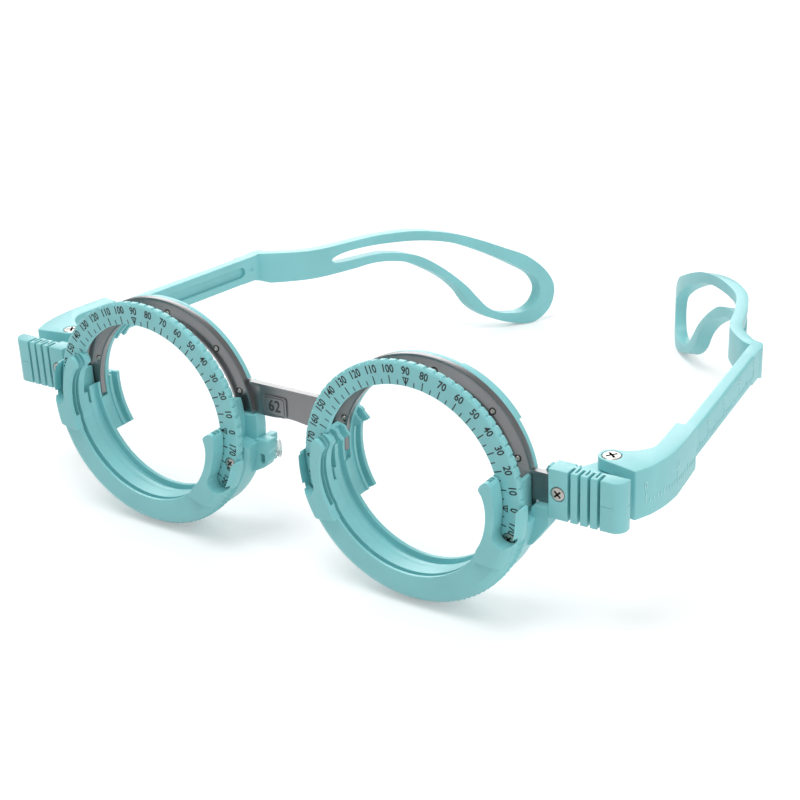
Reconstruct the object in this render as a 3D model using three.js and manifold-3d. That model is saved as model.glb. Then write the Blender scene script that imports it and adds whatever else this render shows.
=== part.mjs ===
import * as THREE from 'three';
import { mergeVertices } from 'three/addons/utils/BufferGeometryUtils.js';
import Module from 'manifold-3d';

// Optical trial frame: two round eyepieces on one bar, with folding side arms of adjustable length.
// Millimetres, +Z up. The front faces -Y, the wearer's left is +X, and the arms run back along +Y.
// Each eyepiece is built round its own centre with the temple side at +X, and mirrored for the other eye.
// Angles are in degrees from the temple side, counted up over the top of the eyepiece.

// Layout
const PUPIL_DISTANCE = 62;
const RING_X = PUPIL_DISTANCE / 2;
const RUN_GAP = 0.3;
const SEAT_GAP = 0.15;
const OVERRUN = 1;

// Lens cells: a trial lens of 38 mm sits in each groove
const LENS_RADIUS = 19;
const LENS_GAP = 0.2;
const LENS_CATCH = 0.8;
const LIP_STEP = 0.3;
const GROOVE_RADIUS = LENS_RADIUS + LENS_GAP;
const CELL_RADIUS = LENS_RADIUS - LENS_CATCH;
const LIP_RADIUS = CELL_RADIUS - LIP_STEP;

// Dial: fixed ring with a scalloped edge, its front face at y = 0
const DIAL_STEP = 0.5;
const DIAL_WIDE = 4.65;
const DIAL_THICK = 1.4;
const DIAL_BEVEL = 0.4;
const DIAL_HOLE_RADIUS = CELL_RADIUS + DIAL_STEP;
const DIAL_RADIUS = DIAL_HOLE_RADIUS + DIAL_WIDE;
const SCALLOP_COUNT = 72;
const SCALLOP_DEPTH = 0.4;
const SCALLOP_LAND_SHARE = 0.6;

// Dial screws, countersunk
const DIAL_SCREW_ANGLE = -17;
const DIAL_SCREW_INSET = 1.95;
const DIAL_SCREW_REACH = DIAL_RADIUS - DIAL_SCREW_INSET;
const DIAL_SCREW_HEAD = 1.15;
const DIAL_SCREW_HEAD_DEEP = 0.6;
const DIAL_SCREW_SHANK = 0.65;
const DIAL_SCREW_LENGTH = 4.4;

// Carrier: turning front cell that straddles the dial
const SKIRT_WALL = 0.6;
const OUTER_PRONG_WALL = 0.85;
const INNER_PRONG_WALL = 0.5;
const CARRIER_FRONT_EDGE = 1.1;
const PLATE_GAP = 0.2;
const PLATE_THICK = 2;
const SHOULDER_DROP = 0.55;
const RIM_DROP = 1.6;
const GROOVE_COVER = 0.6;
const CARRIER_GROOVE_WIDE = 1;
const CATCH_THICK = 0.35;
const CATCH_RUN = 0.15;
const CATCH_OVERLAP = 0.65;
const JOURNAL_GAP = 0.25;
const RIM_SHORT = 0.1;
const RIM_RADIUS = DIAL_RADIUS + RUN_GAP + SKIRT_WALL;
const CARRIER_SHOULDER_RADIUS = RIM_RADIUS - OUTER_PRONG_WALL;
const CARRIER_FLAT_RADIUS = CARRIER_SHOULDER_RADIUS - CARRIER_FRONT_EDGE;
const CARRIER_PLATE_BACK_Y = -PLATE_GAP;
const CARRIER_FRONT_Y = CARRIER_PLATE_BACK_Y - PLATE_THICK;
const CARRIER_SHOULDER_Y = CARRIER_FRONT_Y + SHOULDER_DROP;
const RIM_FRONT_Y = CARRIER_FRONT_Y + RIM_DROP;
const CARRIER_GROOVE_FRONT_Y = CARRIER_FRONT_Y + GROOVE_COVER;
const CARRIER_GROOVE_BACK_Y = CARRIER_GROOVE_FRONT_Y + CARRIER_GROOVE_WIDE;
const JOURNAL_RADIUS = DIAL_HOLE_RADIUS - JOURNAL_GAP;
const CATCH_RADIUS = DIAL_HOLE_RADIUS + CATCH_OVERLAP;
const CATCH_FRONT_Y = DIAL_THICK + CATCH_RUN;
const CATCH_BACK_Y = CATCH_FRONT_Y + CATCH_THICK;
const RIM_BACK_Y = CATCH_BACK_Y - RIM_SHORT;
const TOOTH_DEPTH = 0.35;
const TOOTH_TURN_ANGLE = 3;
const TOOTH_LAND_SHARE = 0.55;
const TEETH_END_ANGLE = -14;
const CATCH_END_ANGLE = -14.5;
const CLAW_BACK_Y = 1;
const CARRIER_TURN_ANGLE = 90;
const STOP_SLACK_ANGLE = 1;
const RIGHT_CARRIER_ANGLE = 15;

// Carrier claws: an inner prong with a barb, a reading window and an outer prong
const WAIST_STEP = 1;
const BARB_STEP = 2.1;
const BARB_TOP_STEP = 0.9;
const WAIST_RADIUS = CELL_RADIUS - WAIST_STEP;
const BARB_RADIUS = CELL_RADIUS - BARB_STEP;
const BARB_TOP_RADIUS = CELL_RADIUS - BARB_TOP_STEP;
const WINDOW_INNER_RADIUS = GROOVE_RADIUS + INNER_PRONG_WALL;
const WINDOW_OUTER_RADIUS = RIM_RADIUS - OUTER_PRONG_WALL;
const BARB_ANGLE = 11;
const BARB_TOP_ANGLE = 15.7;
const PRONG_TOP_ANGLE = 18.3;
const WAIST_TOP_ANGLE = 6;
const WAIST_LOW_ANGLE = -16;
const WAIST_END_ANGLE = -26;
const WINDOW_LOW_ANGLE = -13;
const OUTER_PRONG_ANGLE = 2;

// Body: lower shell with the middle lens cell, rear ring, and claws of the rear lens cell
const BODY_RUN = 0.2;
const BODY_INSET = 0.55;
const BODY_EDGE = 0.6;
const LAND_WIDE = 1.8;
const LENS_GROOVE_WIDE = 1.6;
const MIDDLE_LIP_WIDE = 0.9;
const CELL_BAND_WIDE = 2.2;
const REAR_LIP_WIDE = 0.6;
const REAR_END_WIDE = 0.8;
const REAR_LIP_STEP = 0.4;
const REAR_CELL_WALL = 1.6;
const REAR_CELL_EDGE = 0.4;
const REAR_SHORT = 0.6;
const REAR_STEP = 0.8;
const REAR_CELL_LOW_ANGLE = -31.5;
const BODY_FRONT_Y = CATCH_BACK_Y + BODY_RUN;
const BODY_RADIUS = RIM_RADIUS - BODY_INSET;
const MIDDLE_GROOVE_FRONT_Y = BODY_FRONT_Y + LAND_WIDE;
const MIDDLE_GROOVE_BACK_Y = MIDDLE_GROOVE_FRONT_Y + LENS_GROOVE_WIDE;
const MIDDLE_LIP_BACK_Y = MIDDLE_GROOVE_BACK_Y + MIDDLE_LIP_WIDE;
const REAR_LIP_FRONT_Y = MIDDLE_LIP_BACK_Y + CELL_BAND_WIDE;
const BODY_BACK_Y = REAR_LIP_FRONT_Y - REAR_SHORT;
const REAR_LIP_RADIUS = CELL_RADIUS - REAR_LIP_STEP;
const REAR_GROOVE_FRONT_Y = REAR_LIP_FRONT_Y + REAR_LIP_WIDE;
const REAR_GROOVE_BACK_Y = REAR_GROOVE_FRONT_Y + LENS_GROOVE_WIDE;
const REAR_CELL_RADIUS = GROOVE_RADIUS + REAR_CELL_WALL;
const REAR_CELL_BACK_Y = REAR_GROOVE_BACK_Y + REAR_END_WIDE;
const REAR_STEP_RADIUS = GROOVE_RADIUS + REAR_STEP;
const SHELL_TOP_ANGLE = -8;
const SCREW_BOSS_WALL = 0.95;
const SCREW_BOSS_RADIUS = DIAL_SCREW_SHANK + SCREW_BOSS_WALL;

// Walls beside the bar, temple shoulder and nose lug of the body
const NOSE_WALL = 1.2;
const NOSE_WALL_INNER_RADIUS = BODY_RADIUS - NOSE_WALL;
const NOSE_WALL_TOP_ANGLE = 174.6;
const NOSE_WALL_SETBACK = 0.2;
const TEMPLE_WALL = 0.8;
const TEMPLE_WALL_TOP = 3.8;
const TEMPLE_WALL_LOW = -4;
const SHOULDER_FRONT_Y = 4.6;
const SHOULDER_BACK_Y = 7.5;
const SHOULDER_DEEP = 8.4;
const LUG_FRONT_Y = 5.5;
const LUG_TOP = -2.7;
const LUG_DEEP = 8.5;
const LUG_OUT = 2.4;
const LUG_REACH = BODY_RADIUS + LUG_OUT;
const LUG_WALL = 0.8;

// Bar: pressed strip with a channel section over each eyepiece
const BAR_RISE = 0.1;
const CHANNEL_DEEP = 0.8;
const WEB_THICK = 0.5;
const BAR_FRONT_Y = MIDDLE_LIP_BACK_Y - BAR_RISE;
const BAR_WEB_Y = BAR_FRONT_Y + CHANNEL_DEEP;
const BAR_BACK_Y = BAR_WEB_Y + WEB_THICK;
const BAR_INNER_RADIUS = CELL_RADIUS;
const BAR_INNER_LIP = 0.5;
const BAR_OUTER_RADIUS = NOSE_WALL_INNER_RADIUS - RUN_GAP;
const BAR_OUTER_LIP = 0.6;
const BAR_TEMPLE_ANGLE = -6;
const BAR_NOSE_ANGLE = 173.6;
const BAR_LIP_END_ANGLE = 182.3;
const STRAP_INSET = 0.2;
const STRAP_FRONT_Y = BAR_FRONT_Y + STRAP_INSET;
const STRAP_TOP = 9;
const STRAP_LOW = 2.4;
const STRAP_ARCH = 0.5;
const STRAP_FLANGE = 0.5;
const STRAP_INTO_ARC = 0.8;
const LABEL_X = -3.4;
const LABEL_WIDE = 5.6;
const LABEL_HIGH = 4.3;
const LABEL_Z = 4.95;
const LABEL_RAISED = 0.2;
const LABEL_CORNER = 0.6;
const TAB_TOP = 4.8;
const TAB_LOW = -0.9;
const TAB_INSET = 0.3;
const TAB_FRONT_Y = BAR_FRONT_Y + TAB_INSET;
const TAB_FLANGE = 0.6;
const SHOULDER_GAP = 0.25;
const SHOULDER_TOP = TAB_LOW - SHOULDER_GAP;

// Rear ring behind the bar, on the same pins
const REAR_RING_GAP = 0.15;
const REAR_RING_THICK = 1.15;
const REAR_RING_RADIUS = BAR_OUTER_RADIUS - STRAP_INSET;
const REAR_RING_FRONT_Y = BAR_BACK_Y + REAR_RING_GAP;
const REAR_RING_BACK_Y = REAR_RING_FRONT_Y + REAR_RING_THICK;

// Middle claws stand in front of the bar, rear claws behind it
const CLAW_SETBACK = 0.8;
const CLAW_CLEAR = 0.2;
const MIDDLE_CLAW_WALL = 1;
const MIDDLE_BARB_STEP = 1.3;
const REAR_BARB_STEP = 1.7;
const MIDDLE_CLAW_FRONT_Y = BODY_FRONT_Y + CLAW_SETBACK;
const MIDDLE_CLAW_BACK_Y = BAR_FRONT_Y - CLAW_CLEAR;
const MIDDLE_CLAW_RADIUS = GROOVE_RADIUS + MIDDLE_CLAW_WALL;
const MIDDLE_BARB_RADIUS = CELL_RADIUS - MIDDLE_BARB_STEP;
const REAR_BARB_RADIUS = CELL_RADIUS - REAR_BARB_STEP;
const MIDDLE_NOSE_CLAW_ANGLE = 165;
const MIDDLE_TEMPLE_CLAW_ANGLE = 3;
const REAR_NOSE_CLAW_ANGLE = 160;
const REAR_TEMPLE_CLAW_ANGLE = 4;
const TOP_CLAW_START_ANGLE = 35;
const TOP_CLAW_END_ANGLE = 75;
const BARB_SPAN_ANGLE = 4;

// Nose pad on its upright post
const PAD_POST_INSET = 0.6;
const PAD_POST_SETBACK = 2.6;
const PAD_POST_X = PAD_POST_INSET - BODY_RADIUS;
const PAD_POST_Y = BODY_BACK_Y + PAD_POST_SETBACK;
const PAD_POST_RADIUS = 0.5;
const PAD_POST_TOP = -3.2;
const PAD_POST_LOW = -9;
const PAD_ARM_THICK = 1.6;
const PAD_CLIP_RADIUS = 1.3;
const PAD_CLIP_TOP = -5.4;
const PAD_CLIP_LOW = -8.2;
const PAD_LONG = 5.2;
const PAD_HIGH = 3.2;
const PAD_THICK = 1.4;
const PAD_OFFSET = 0.9;
const PAD_YAW_ANGLE = 51.5;

// Bar pins, seen from the front at the same angles on both eyepieces
const PIN_ANGLES = [18, 46, 85, 163];
const PIN_INSET = 1.25;
const PIN_REACH = BAR_INNER_RADIUS + PIN_INSET;
const PIN_HEAD = 0.55;
const PIN_HEAD_THICK = 0.4;
const PIN_SHANK = 0.38;
const PIN_DEEP = 1;

// Hinge block: clamp end, elastic ribs, paddle and lug
const BLOCK_CLEAR = 1.85;
const BLOCK_INNER_X = RING_X + RIM_RADIUS + BLOCK_CLEAR;
const BLOCK_LEAD = 2.25;
const BLOCK_FRONT_Y = BAR_FRONT_Y - BLOCK_LEAD;
const STRIP_THICK = 3.05;
const STRIP_BACK_Y = BLOCK_FRONT_Y + STRIP_THICK;
const BLOCK_TOP = 7.2;
const BLOCK_LOW = -2.3;
const CLAMP_LONG = 3.7;
const CLAMP_THICK = 5.35;
const CLAMP_FRONT_THICK = 3.9;
const CLAMP_OVERHANG = 2.7;
const TAB_INTO_CLAMP = 3.2;
const SLOT_WIDE = 0.6;
const SLOT_STEP = 1.87;
const SLOT_COUNT = 4;
const REAR_SLOT_WIDE = 0.45;
const SLOT_DEEP = 2.3;
const BLOCK_LONG = 14.1;
const PADDLE_ROUND = 2.2;
const CLAMP_PEAK_Z = 5.8;
const PIVOT_OUT = 7;
const PIVOT_BACK = 10.25;
const LUG_PLATE_LOW = 0.2;
const LUG_PLATE_TOP = 4.5;
const LUG_ROOT_INSET = 0.5;
const LUG_ROOT_OUT = 0.5;
const EYE_RADIUS = 3.2;
const BLOCK_SCREW_IN = 1.8;
const BLOCK_SCREW_Z = 2.6;
const BLOCK_SCREW_HEAD = 1.3;
const BLOCK_SCREW_HEAD_DEEP = 0.7;
const BLOCK_SCREW_SHANK = 0.7;
const BLOCK_SCREW_LENGTH = 4.9;
const CLAMP_END_X = BLOCK_INNER_X + CLAMP_LONG;
const CLAMP_REAR_X = BLOCK_INNER_X - CLAMP_OVERHANG;
const CLAMP_BACK_Y = BLOCK_FRONT_Y + CLAMP_THICK;
const TAB_END_X = BLOCK_INNER_X + TAB_INTO_CLAMP;
const FIRST_SLOT_X = CLAMP_END_X + SLOT_WIDE / 2;
const PADDLE_END_X = BLOCK_INNER_X + BLOCK_LONG;
const PIVOT_X = BLOCK_INNER_X + PIVOT_OUT;
const PIVOT_Y = BLOCK_FRONT_Y + PIVOT_BACK;
const LUG_ROOT_INNER_X = BLOCK_INNER_X + LUG_ROOT_INSET;
const LUG_ROOT_OUTER_X = CLAMP_END_X + LUG_ROOT_OUT;
const BLOCK_SCREW_X = BLOCK_INNER_X + BLOCK_SCREW_IN;

// Hinge screw and nut, upright through fork and lug
const HINGE_SCREW_HEAD = 1.75;
const HINGE_SCREW_HEAD_DEEP = 0.9;
const HINGE_SCREW_SHANK = 0.8;
const HINGE_NUT_FLATS = 3.5;
const HINGE_NUT_THICK = 1.1;
const NUT_SUNK = 0.15;

// Sleeve: fork round the lug, corner and flat box that the arm slides in
const SLEEVE_OVER = 2.45;
const SLEEVE_UNDER = 2.65;
const SLEEVE_TOP = LUG_PLATE_TOP + SLEEVE_OVER;
const SLEEVE_LOW = LUG_PLATE_LOW - SLEEVE_UNDER;
const SLEEVE_RISE = 0.85;
const SLEEVE_END = 17.04;
const SLEEVE_WIDE = 9.9;
const KNUCKLE_RADIUS = 2.4;
const CAVITY_START = 6.5;
const CHAMFER_WIDE = 1;
const CHAMFER_LONG = 4;
const LEFT_TOE_IN_ANGLE = 5.6;
const RIGHT_TOE_IN_ANGLE = 8.3;
const FORK_GAP = 0.25;
const STOP_PIN_INSET = 0.84;
const STOP_PIN_RADIUS = 0.5;

// Arm: straight strip, inward bend and loop end
const ARM_COVER = 0.8;
const ARM_OUT = SLEEVE_WIDE - ARM_COVER;
const ARM_THICK = 2.6;
const ARM_TOP = 5.2;
const ARM_LOW = -0.9;
const ARM_START = 10.7;
const ARM_STRAIGHT_END = 62;
const ARM_EDGE = 0.35;
const RECESS_INSET = 1.9;
const RECESS_START = ARM_START + RECESS_INSET;
const RECESS_END = 57;
const RECESS_HIGH = 2.6;
const RECESS_DEEP = 0.9;
const RECESS_Z = 2.1;
const LOOP_LONG = 69.4;
const LOOP_IN = 38.8;
const LOOP_DROP = 24.25;
const LOOP_THICK = 2.6;
const ARM_SPLIT_OVERLAP = 2;

// Facets round a full circle
const ROUND_STEPS = 48;
const SMALL_STEPS = 12;
const MERGE_TOLERANCE = 1e-5;

const wasm = await Module();
wasm.setup();

// Solids and outlines

function solid(geometry) {
  const bare = geometry.clone();
  bare.deleteAttribute('normal');
  bare.deleteAttribute('uv');
  const merged = mergeVertices(bare, MERGE_TOLERANCE);
  const corners = [];
  for (let i = 0; i < merged.index.count; i += 3) {
    const [a, b, c] = [merged.index.getX(i), merged.index.getX(i + 1), merged.index.getX(i + 2)];
    if (a !== b && b !== c && c !== a) {
      corners.push(a, b, c);
    }
  }
  const vertProperties = new Float32Array(merged.attributes.position.array);
  const triVerts = new Uint32Array(corners);
  return new wasm.Manifold(new wasm.Mesh({ numProp: 3, vertProperties, triVerts }));
}

function geometryOf(body) {
  const mesh = body.getMesh();
  const geometry = new THREE.BufferGeometry();
  geometry.setAttribute('position', new THREE.BufferAttribute(mesh.vertProperties, 3));
  geometry.setIndex(new THREE.BufferAttribute(mesh.triVerts, 1));
  return geometry;
}

function mirrored(geometry) {
  const copy = geometry.clone();
  copy.scale(-1, 1, 1);
  const index = copy.index;
  for (let i = 0; i < index.count; i += 3) {
    const second = index.getX(i + 1);
    index.setX(i + 1, index.getX(i + 2));
    index.setX(i + 2, second);
  }
  return copy;
}

function joined(bodies) {
  return bodies.reduce((whole, body) => whole.add(body));
}

function polar(radius, degrees) {
  const angle = THREE.MathUtils.degToRad(degrees);
  return new THREE.Vector2(radius * Math.cos(angle), radius * Math.sin(angle));
}

function arc(radius, from, to) {
  const steps = Math.max(1, Math.round(Math.abs(to - from) / (360 / ROUND_STEPS)));
  const points = [];
  for (let i = 0; i <= steps; i++) {
    points.push(polar(radius, from + ((to - from) * i) / steps));
  }
  return points;
}

function band(inner, outer, from, to) {
  return [...arc(outer, from, to), ...arc(inner, to, from)];
}

function wedge(radius, from, to) {
  return [new THREE.Vector2(0, 0), ...arc(radius, from, to)];
}

// Outline in front view (x, z), from yFront back to yBack
function frontPrism(points, yFront, yBack) {
  const shape = new THREE.Shape(points);
  const geometry = new THREE.ExtrudeGeometry(shape, { depth: yBack - yFront, bevelEnabled: false });
  geometry.rotateX(Math.PI / 2);
  geometry.translate(0, yBack, 0);
  return solid(geometry);
}

// Outline in plan (x, y), from low to top
function planPrism(points, low, top) {
  const shape = new THREE.Shape(points);
  const geometry = new THREE.ExtrudeGeometry(shape, { depth: top - low, bevelEnabled: false });
  geometry.translate(0, 0, low);
  return solid(geometry);
}

// Outline in side view (y, z), from xFrom to xTo
function sidePrism(points, xFrom, xTo) {
  const shape = new THREE.Shape(points);
  const geometry = new THREE.ExtrudeGeometry(shape, { depth: xTo - xFrom, bevelEnabled: false });
  const along = new THREE.Vector3(0, 1, 0);
  const up = new THREE.Vector3(0, 0, 1);
  const across = new THREE.Vector3(1, 0, 0);
  geometry.applyMatrix4(new THREE.Matrix4().makeBasis(along, up, across));
  geometry.translate(xFrom, 0, 0);
  return solid(geometry);
}

function box(xFrom, xTo, yFrom, yTo, zFrom, zTo) {
  const geometry = new THREE.BoxGeometry(xTo - xFrom, yTo - yFrom, zTo - zFrom);
  geometry.translate((xFrom + xTo) / 2, (yFrom + yTo) / 2, (zFrom + zTo) / 2);
  return solid(geometry);
}

// Ring turned about the Y axis from a closed profile of [radius, y] pairs
function ring(profile) {
  const points = [...profile, profile[0]].map(([radius, y]) => new THREE.Vector2(radius, y));
  return solid(new THREE.LatheGeometry(points, ROUND_STEPS));
}

// Rod along Y between two y values, with a radius at each end
function rodY(x, z, radius, yFrom, yTo, backRadius = radius, steps = SMALL_STEPS) {
  const geometry = new THREE.CylinderGeometry(backRadius, radius, yTo - yFrom, steps);
  geometry.translate(x, (yFrom + yTo) / 2, z);
  return solid(geometry);
}

// Rod along Z between two z values, with a radius at each end
function rodZ(x, y, radius, low, top, topRadius = radius, steps = SMALL_STEPS) {
  const geometry = new THREE.CylinderGeometry(topRadius, radius, top - low, steps);
  geometry.rotateX(Math.PI / 2);
  geometry.translate(x, y, (low + top) / 2);
  return solid(geometry);
}

// Pin angles of one side, counted from its temple side
function pinAnglesOf(sign) {
  return PIN_ANGLES.map((angle) => (sign > 0 ? angle : 180 - angle));
}

function pairs(list) {
  return list.map(([a, b]) => new THREE.Vector2(a, b));
}

// Materials

function cyanPlastic() {
  return new THREE.MeshStandardMaterial({ color: 0x8fd3d6, roughness: 0.5, metalness: 0 });
}

function greyMetal() {
  return new THREE.MeshStandardMaterial({ color: 0x77787c, roughness: 0.45, metalness: 0.8 });
}

function brightSteel() {
  return new THREE.MeshStandardMaterial({ color: 0xd0cfcc, roughness: 0.25, metalness: 1 });
}

function clearSilicone() {
  return new THREE.MeshStandardMaterial({ color: 0xdfeceb, roughness: 0.3, metalness: 0 });
}

// Cross recess of a screw: shares of the head's radius and depth
const CROSS_HALF_SHARE = 0.13;
const CROSS_LONG_SHARE = 0.6;
const CROSS_DEEP_SHARE = 0.7;

// Countersunk screw with a cross recess, head at y = 0 and tip at y = length
function screw(head, headDeep, shank, length) {
  const profile = pairs([[0, 0], [head, 0], [shank, headDeep], [shank, length], [0, length]]);
  const body = solid(new THREE.LatheGeometry(profile, SMALL_STEPS));
  const slotHalf = head * CROSS_HALF_SHARE;
  const armHalf = head * CROSS_LONG_SHARE;
  const deep = headDeep * CROSS_DEEP_SHARE;
  const across = box(-armHalf, armHalf, -OVERRUN, deep, -slotHalf, slotHalf);
  const upright = box(-slotHalf, slotHalf, -OVERRUN, deep, -armHalf, armHalf);
  return body.subtract(across.add(upright));
}

// Hole for such a screw, a little wider all round, its mouth at y
function screwHole(x, z, y, head, headDeep, shank, length) {
  const wide = rodY(x, z, head + SEAT_GAP, y, y + headDeep + SEAT_GAP, shank + SEAT_GAP);
  const mouth = rodY(x, z, head + SEAT_GAP, y - OVERRUN, y);
  const long = rodY(x, z, shank + SEAT_GAP, y, y + length + SEAT_GAP);
  return joined([wide, mouth, long]);
}

// Dial

function scallopedEdge() {
  const points = [];
  const pitch = 360 / SCALLOP_COUNT;
  const flank = (1 - SCALLOP_LAND_SHARE) / 2;
  for (let i = 0; i < SCALLOP_COUNT; i++) {
    points.push(polar(DIAL_RADIUS - SCALLOP_DEPTH, i * pitch));
    points.push(polar(DIAL_RADIUS, (i + flank) * pitch));
    points.push(polar(DIAL_RADIUS, (i + 1 - flank) * pitch));
  }
  return points;
}

function dialSolid() {
  const blank = ring([
    [DIAL_HOLE_RADIUS, 0],
    [DIAL_RADIUS - DIAL_BEVEL, 0],
    [DIAL_RADIUS + SEAT_GAP, DIAL_BEVEL + SEAT_GAP],
    [DIAL_RADIUS + SEAT_GAP, DIAL_THICK],
    [DIAL_HOLE_RADIUS, DIAL_THICK],
  ]);
  const edge = frontPrism(scallopedEdge(), -OVERRUN, DIAL_THICK + OVERRUN);
  const stopHalf = 90 - (CARRIER_TURN_ANGLE + CATCH_END_ANGLE) - STOP_SLACK_ANGLE;
  const stopBand = band(DIAL_HOLE_RADIUS, CATCH_RADIUS, 90 - stopHalf, 90 + stopHalf);
  const stop = frontPrism(stopBand, DIAL_THICK / 2, CATCH_BACK_Y);
  let dial = blank.intersect(edge).add(stop);
  for (const angle of [DIAL_SCREW_ANGLE, 180 - DIAL_SCREW_ANGLE]) {
    const at = polar(DIAL_SCREW_REACH, angle);
    dial = dial.subtract(
      screwHole(at.x, at.y, 0, DIAL_SCREW_HEAD, DIAL_SCREW_HEAD_DEEP, DIAL_SCREW_SHANK, DIAL_SCREW_LENGTH),
    );
  }
  return dial;
}

// Carrier

// One claw of the carrier, from the rim up over both prongs and down to the inner edge
function clawOutline() {
  const windowMiddle = (WINDOW_INNER_RADIUS + WINDOW_OUTER_RADIUS) / 2;
  const windowHalf = (WINDOW_OUTER_RADIUS - WINDOW_INNER_RADIUS) / 2;
  const middle = polar(windowMiddle, WINDOW_LOW_ANGLE);
  const bottom = [];
  for (let turn = 0; turn >= -180; turn -= 30) {
    bottom.push(polar(windowHalf, WINDOW_LOW_ANGLE + turn).add(middle));
  }
  return [
    ...arc(RIM_RADIUS, TEETH_END_ANGLE, OUTER_PRONG_ANGLE - 1),
    polar(RIM_RADIUS - TOOTH_DEPTH, OUTER_PRONG_ANGLE),
    polar(WINDOW_OUTER_RADIUS, OUTER_PRONG_ANGLE),
    ...bottom,
    ...arc(WINDOW_INNER_RADIUS, WINDOW_LOW_ANGLE, PRONG_TOP_ANGLE - 2),
    polar(LENS_RADIUS, PRONG_TOP_ANGLE),
    polar(CELL_RADIUS, PRONG_TOP_ANGLE),
    polar(BARB_TOP_RADIUS, BARB_TOP_ANGLE),
    polar(BARB_RADIUS, BARB_ANGLE),
    ...arc(WAIST_RADIUS, WAIST_TOP_ANGLE, WAIST_LOW_ANGLE),
    polar(LIP_RADIUS, WAIST_END_ANGLE),
  ];
}

function toothedRim() {
  const points = [];
  for (let angle = -180 - TEETH_END_ANGLE; angle < TEETH_END_ANGLE; angle += TOOTH_TURN_ANGLE) {
    points.push(polar(RIM_RADIUS, angle));
    points.push(polar(RIM_RADIUS, angle + TOOTH_TURN_ANGLE * TOOTH_LAND_SHARE));
    points.push(polar(RIM_RADIUS - TOOTH_DEPTH, angle + (TOOTH_TURN_ANGLE * (1 + TOOTH_LAND_SHARE)) / 2));
  }
  return points;
}

function carrierSolid() {
  const inner = BARB_RADIUS - OVERRUN;
  const blank = ring([
    [inner, CARRIER_FRONT_Y],
    [CARRIER_FLAT_RADIUS, CARRIER_FRONT_Y],
    [CARRIER_SHOULDER_RADIUS, CARRIER_SHOULDER_Y],
    [RIM_RADIUS + SEAT_GAP, RIM_FRONT_Y],
    [RIM_RADIUS + SEAT_GAP, RIM_BACK_Y],
    [DIAL_RADIUS + RUN_GAP, RIM_BACK_Y],
    [DIAL_RADIUS + RUN_GAP, CARRIER_PLATE_BACK_Y],
    [JOURNAL_RADIUS, CARRIER_PLATE_BACK_Y],
    [JOURNAL_RADIUS, CATCH_FRONT_Y],
    [CATCH_RADIUS, CATCH_FRONT_Y],
    [CATCH_RADIUS, CATCH_BACK_Y],
    [inner, CATCH_BACK_Y],
    [inner, CARRIER_GROOVE_BACK_Y],
    [GROOVE_RADIUS, CARRIER_GROOVE_BACK_Y],
    [GROOVE_RADIUS, CARRIER_GROOVE_FRONT_Y],
    [inner, CARRIER_GROOVE_FRONT_Y],
  ]);
  const claw = clawOutline();
  const otherClaw = claw.map((point) => new THREE.Vector2(-point.x, point.y)).reverse();
  const innerEdge = arc(LIP_RADIUS, WAIST_END_ANGLE, -180 - WAIST_END_ANGLE);
  const outline = [...toothedRim(), ...claw, ...innerEdge.slice(1, -1), ...otherClaw];
  const clawRear = wedge(RIM_RADIUS + OVERRUN, CATCH_END_ANGLE, 180 - CATCH_END_ANGLE);
  return blank
    .intersect(frontPrism(outline, CARRIER_FRONT_Y - OVERRUN, CATCH_BACK_Y + OVERRUN))
    .subtract(frontPrism(clawRear, CLAW_BACK_Y, CATCH_BACK_Y + OVERRUN));
}

// Body

function shellSolid() {
  const blank = ring([
    [CELL_RADIUS, BODY_FRONT_Y],
    [BODY_RADIUS - BODY_EDGE, BODY_FRONT_Y],
    [BODY_RADIUS, BODY_FRONT_Y + BODY_EDGE],
    [BODY_RADIUS, BODY_BACK_Y - BODY_EDGE],
    [BODY_RADIUS - BODY_EDGE, BODY_BACK_Y],
    [CELL_RADIUS, BODY_BACK_Y],
    [CELL_RADIUS, MIDDLE_LIP_BACK_Y],
    [LIP_RADIUS, MIDDLE_LIP_BACK_Y],
    [LIP_RADIUS, MIDDLE_GROOVE_BACK_Y],
    [GROOVE_RADIUS, MIDDLE_GROOVE_BACK_Y],
    [GROOVE_RADIUS, MIDDLE_GROOVE_FRONT_Y],
    [CELL_RADIUS, MIDDLE_GROOVE_FRONT_Y],
  ]);
  const lower = wedge(BODY_RADIUS + OVERRUN, -180 - SHELL_TOP_ANGLE, SHELL_TOP_ANGLE);
  const step = wedge(REAR_STEP_RADIUS, -180 - REAR_CELL_LOW_ANGLE, REAR_CELL_LOW_ANGLE);
  return blank
    .intersect(frontPrism(lower, BODY_FRONT_Y - OVERRUN, BODY_BACK_Y + OVERRUN))
    .subtract(frontPrism(step, MIDDLE_LIP_BACK_Y, BODY_BACK_Y + OVERRUN));
}

// Claw outline on the nose side, with a barb just below its top
function noseClaw(outer, inner, barb, top, root) {
  return [
    ...arc(outer, root, top),
    polar(CELL_RADIUS, top),
    polar(barb, top + BARB_SPAN_ANGLE),
    ...arc(inner, top + 2 * BARB_SPAN_ANGLE, root),
  ];
}

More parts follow.
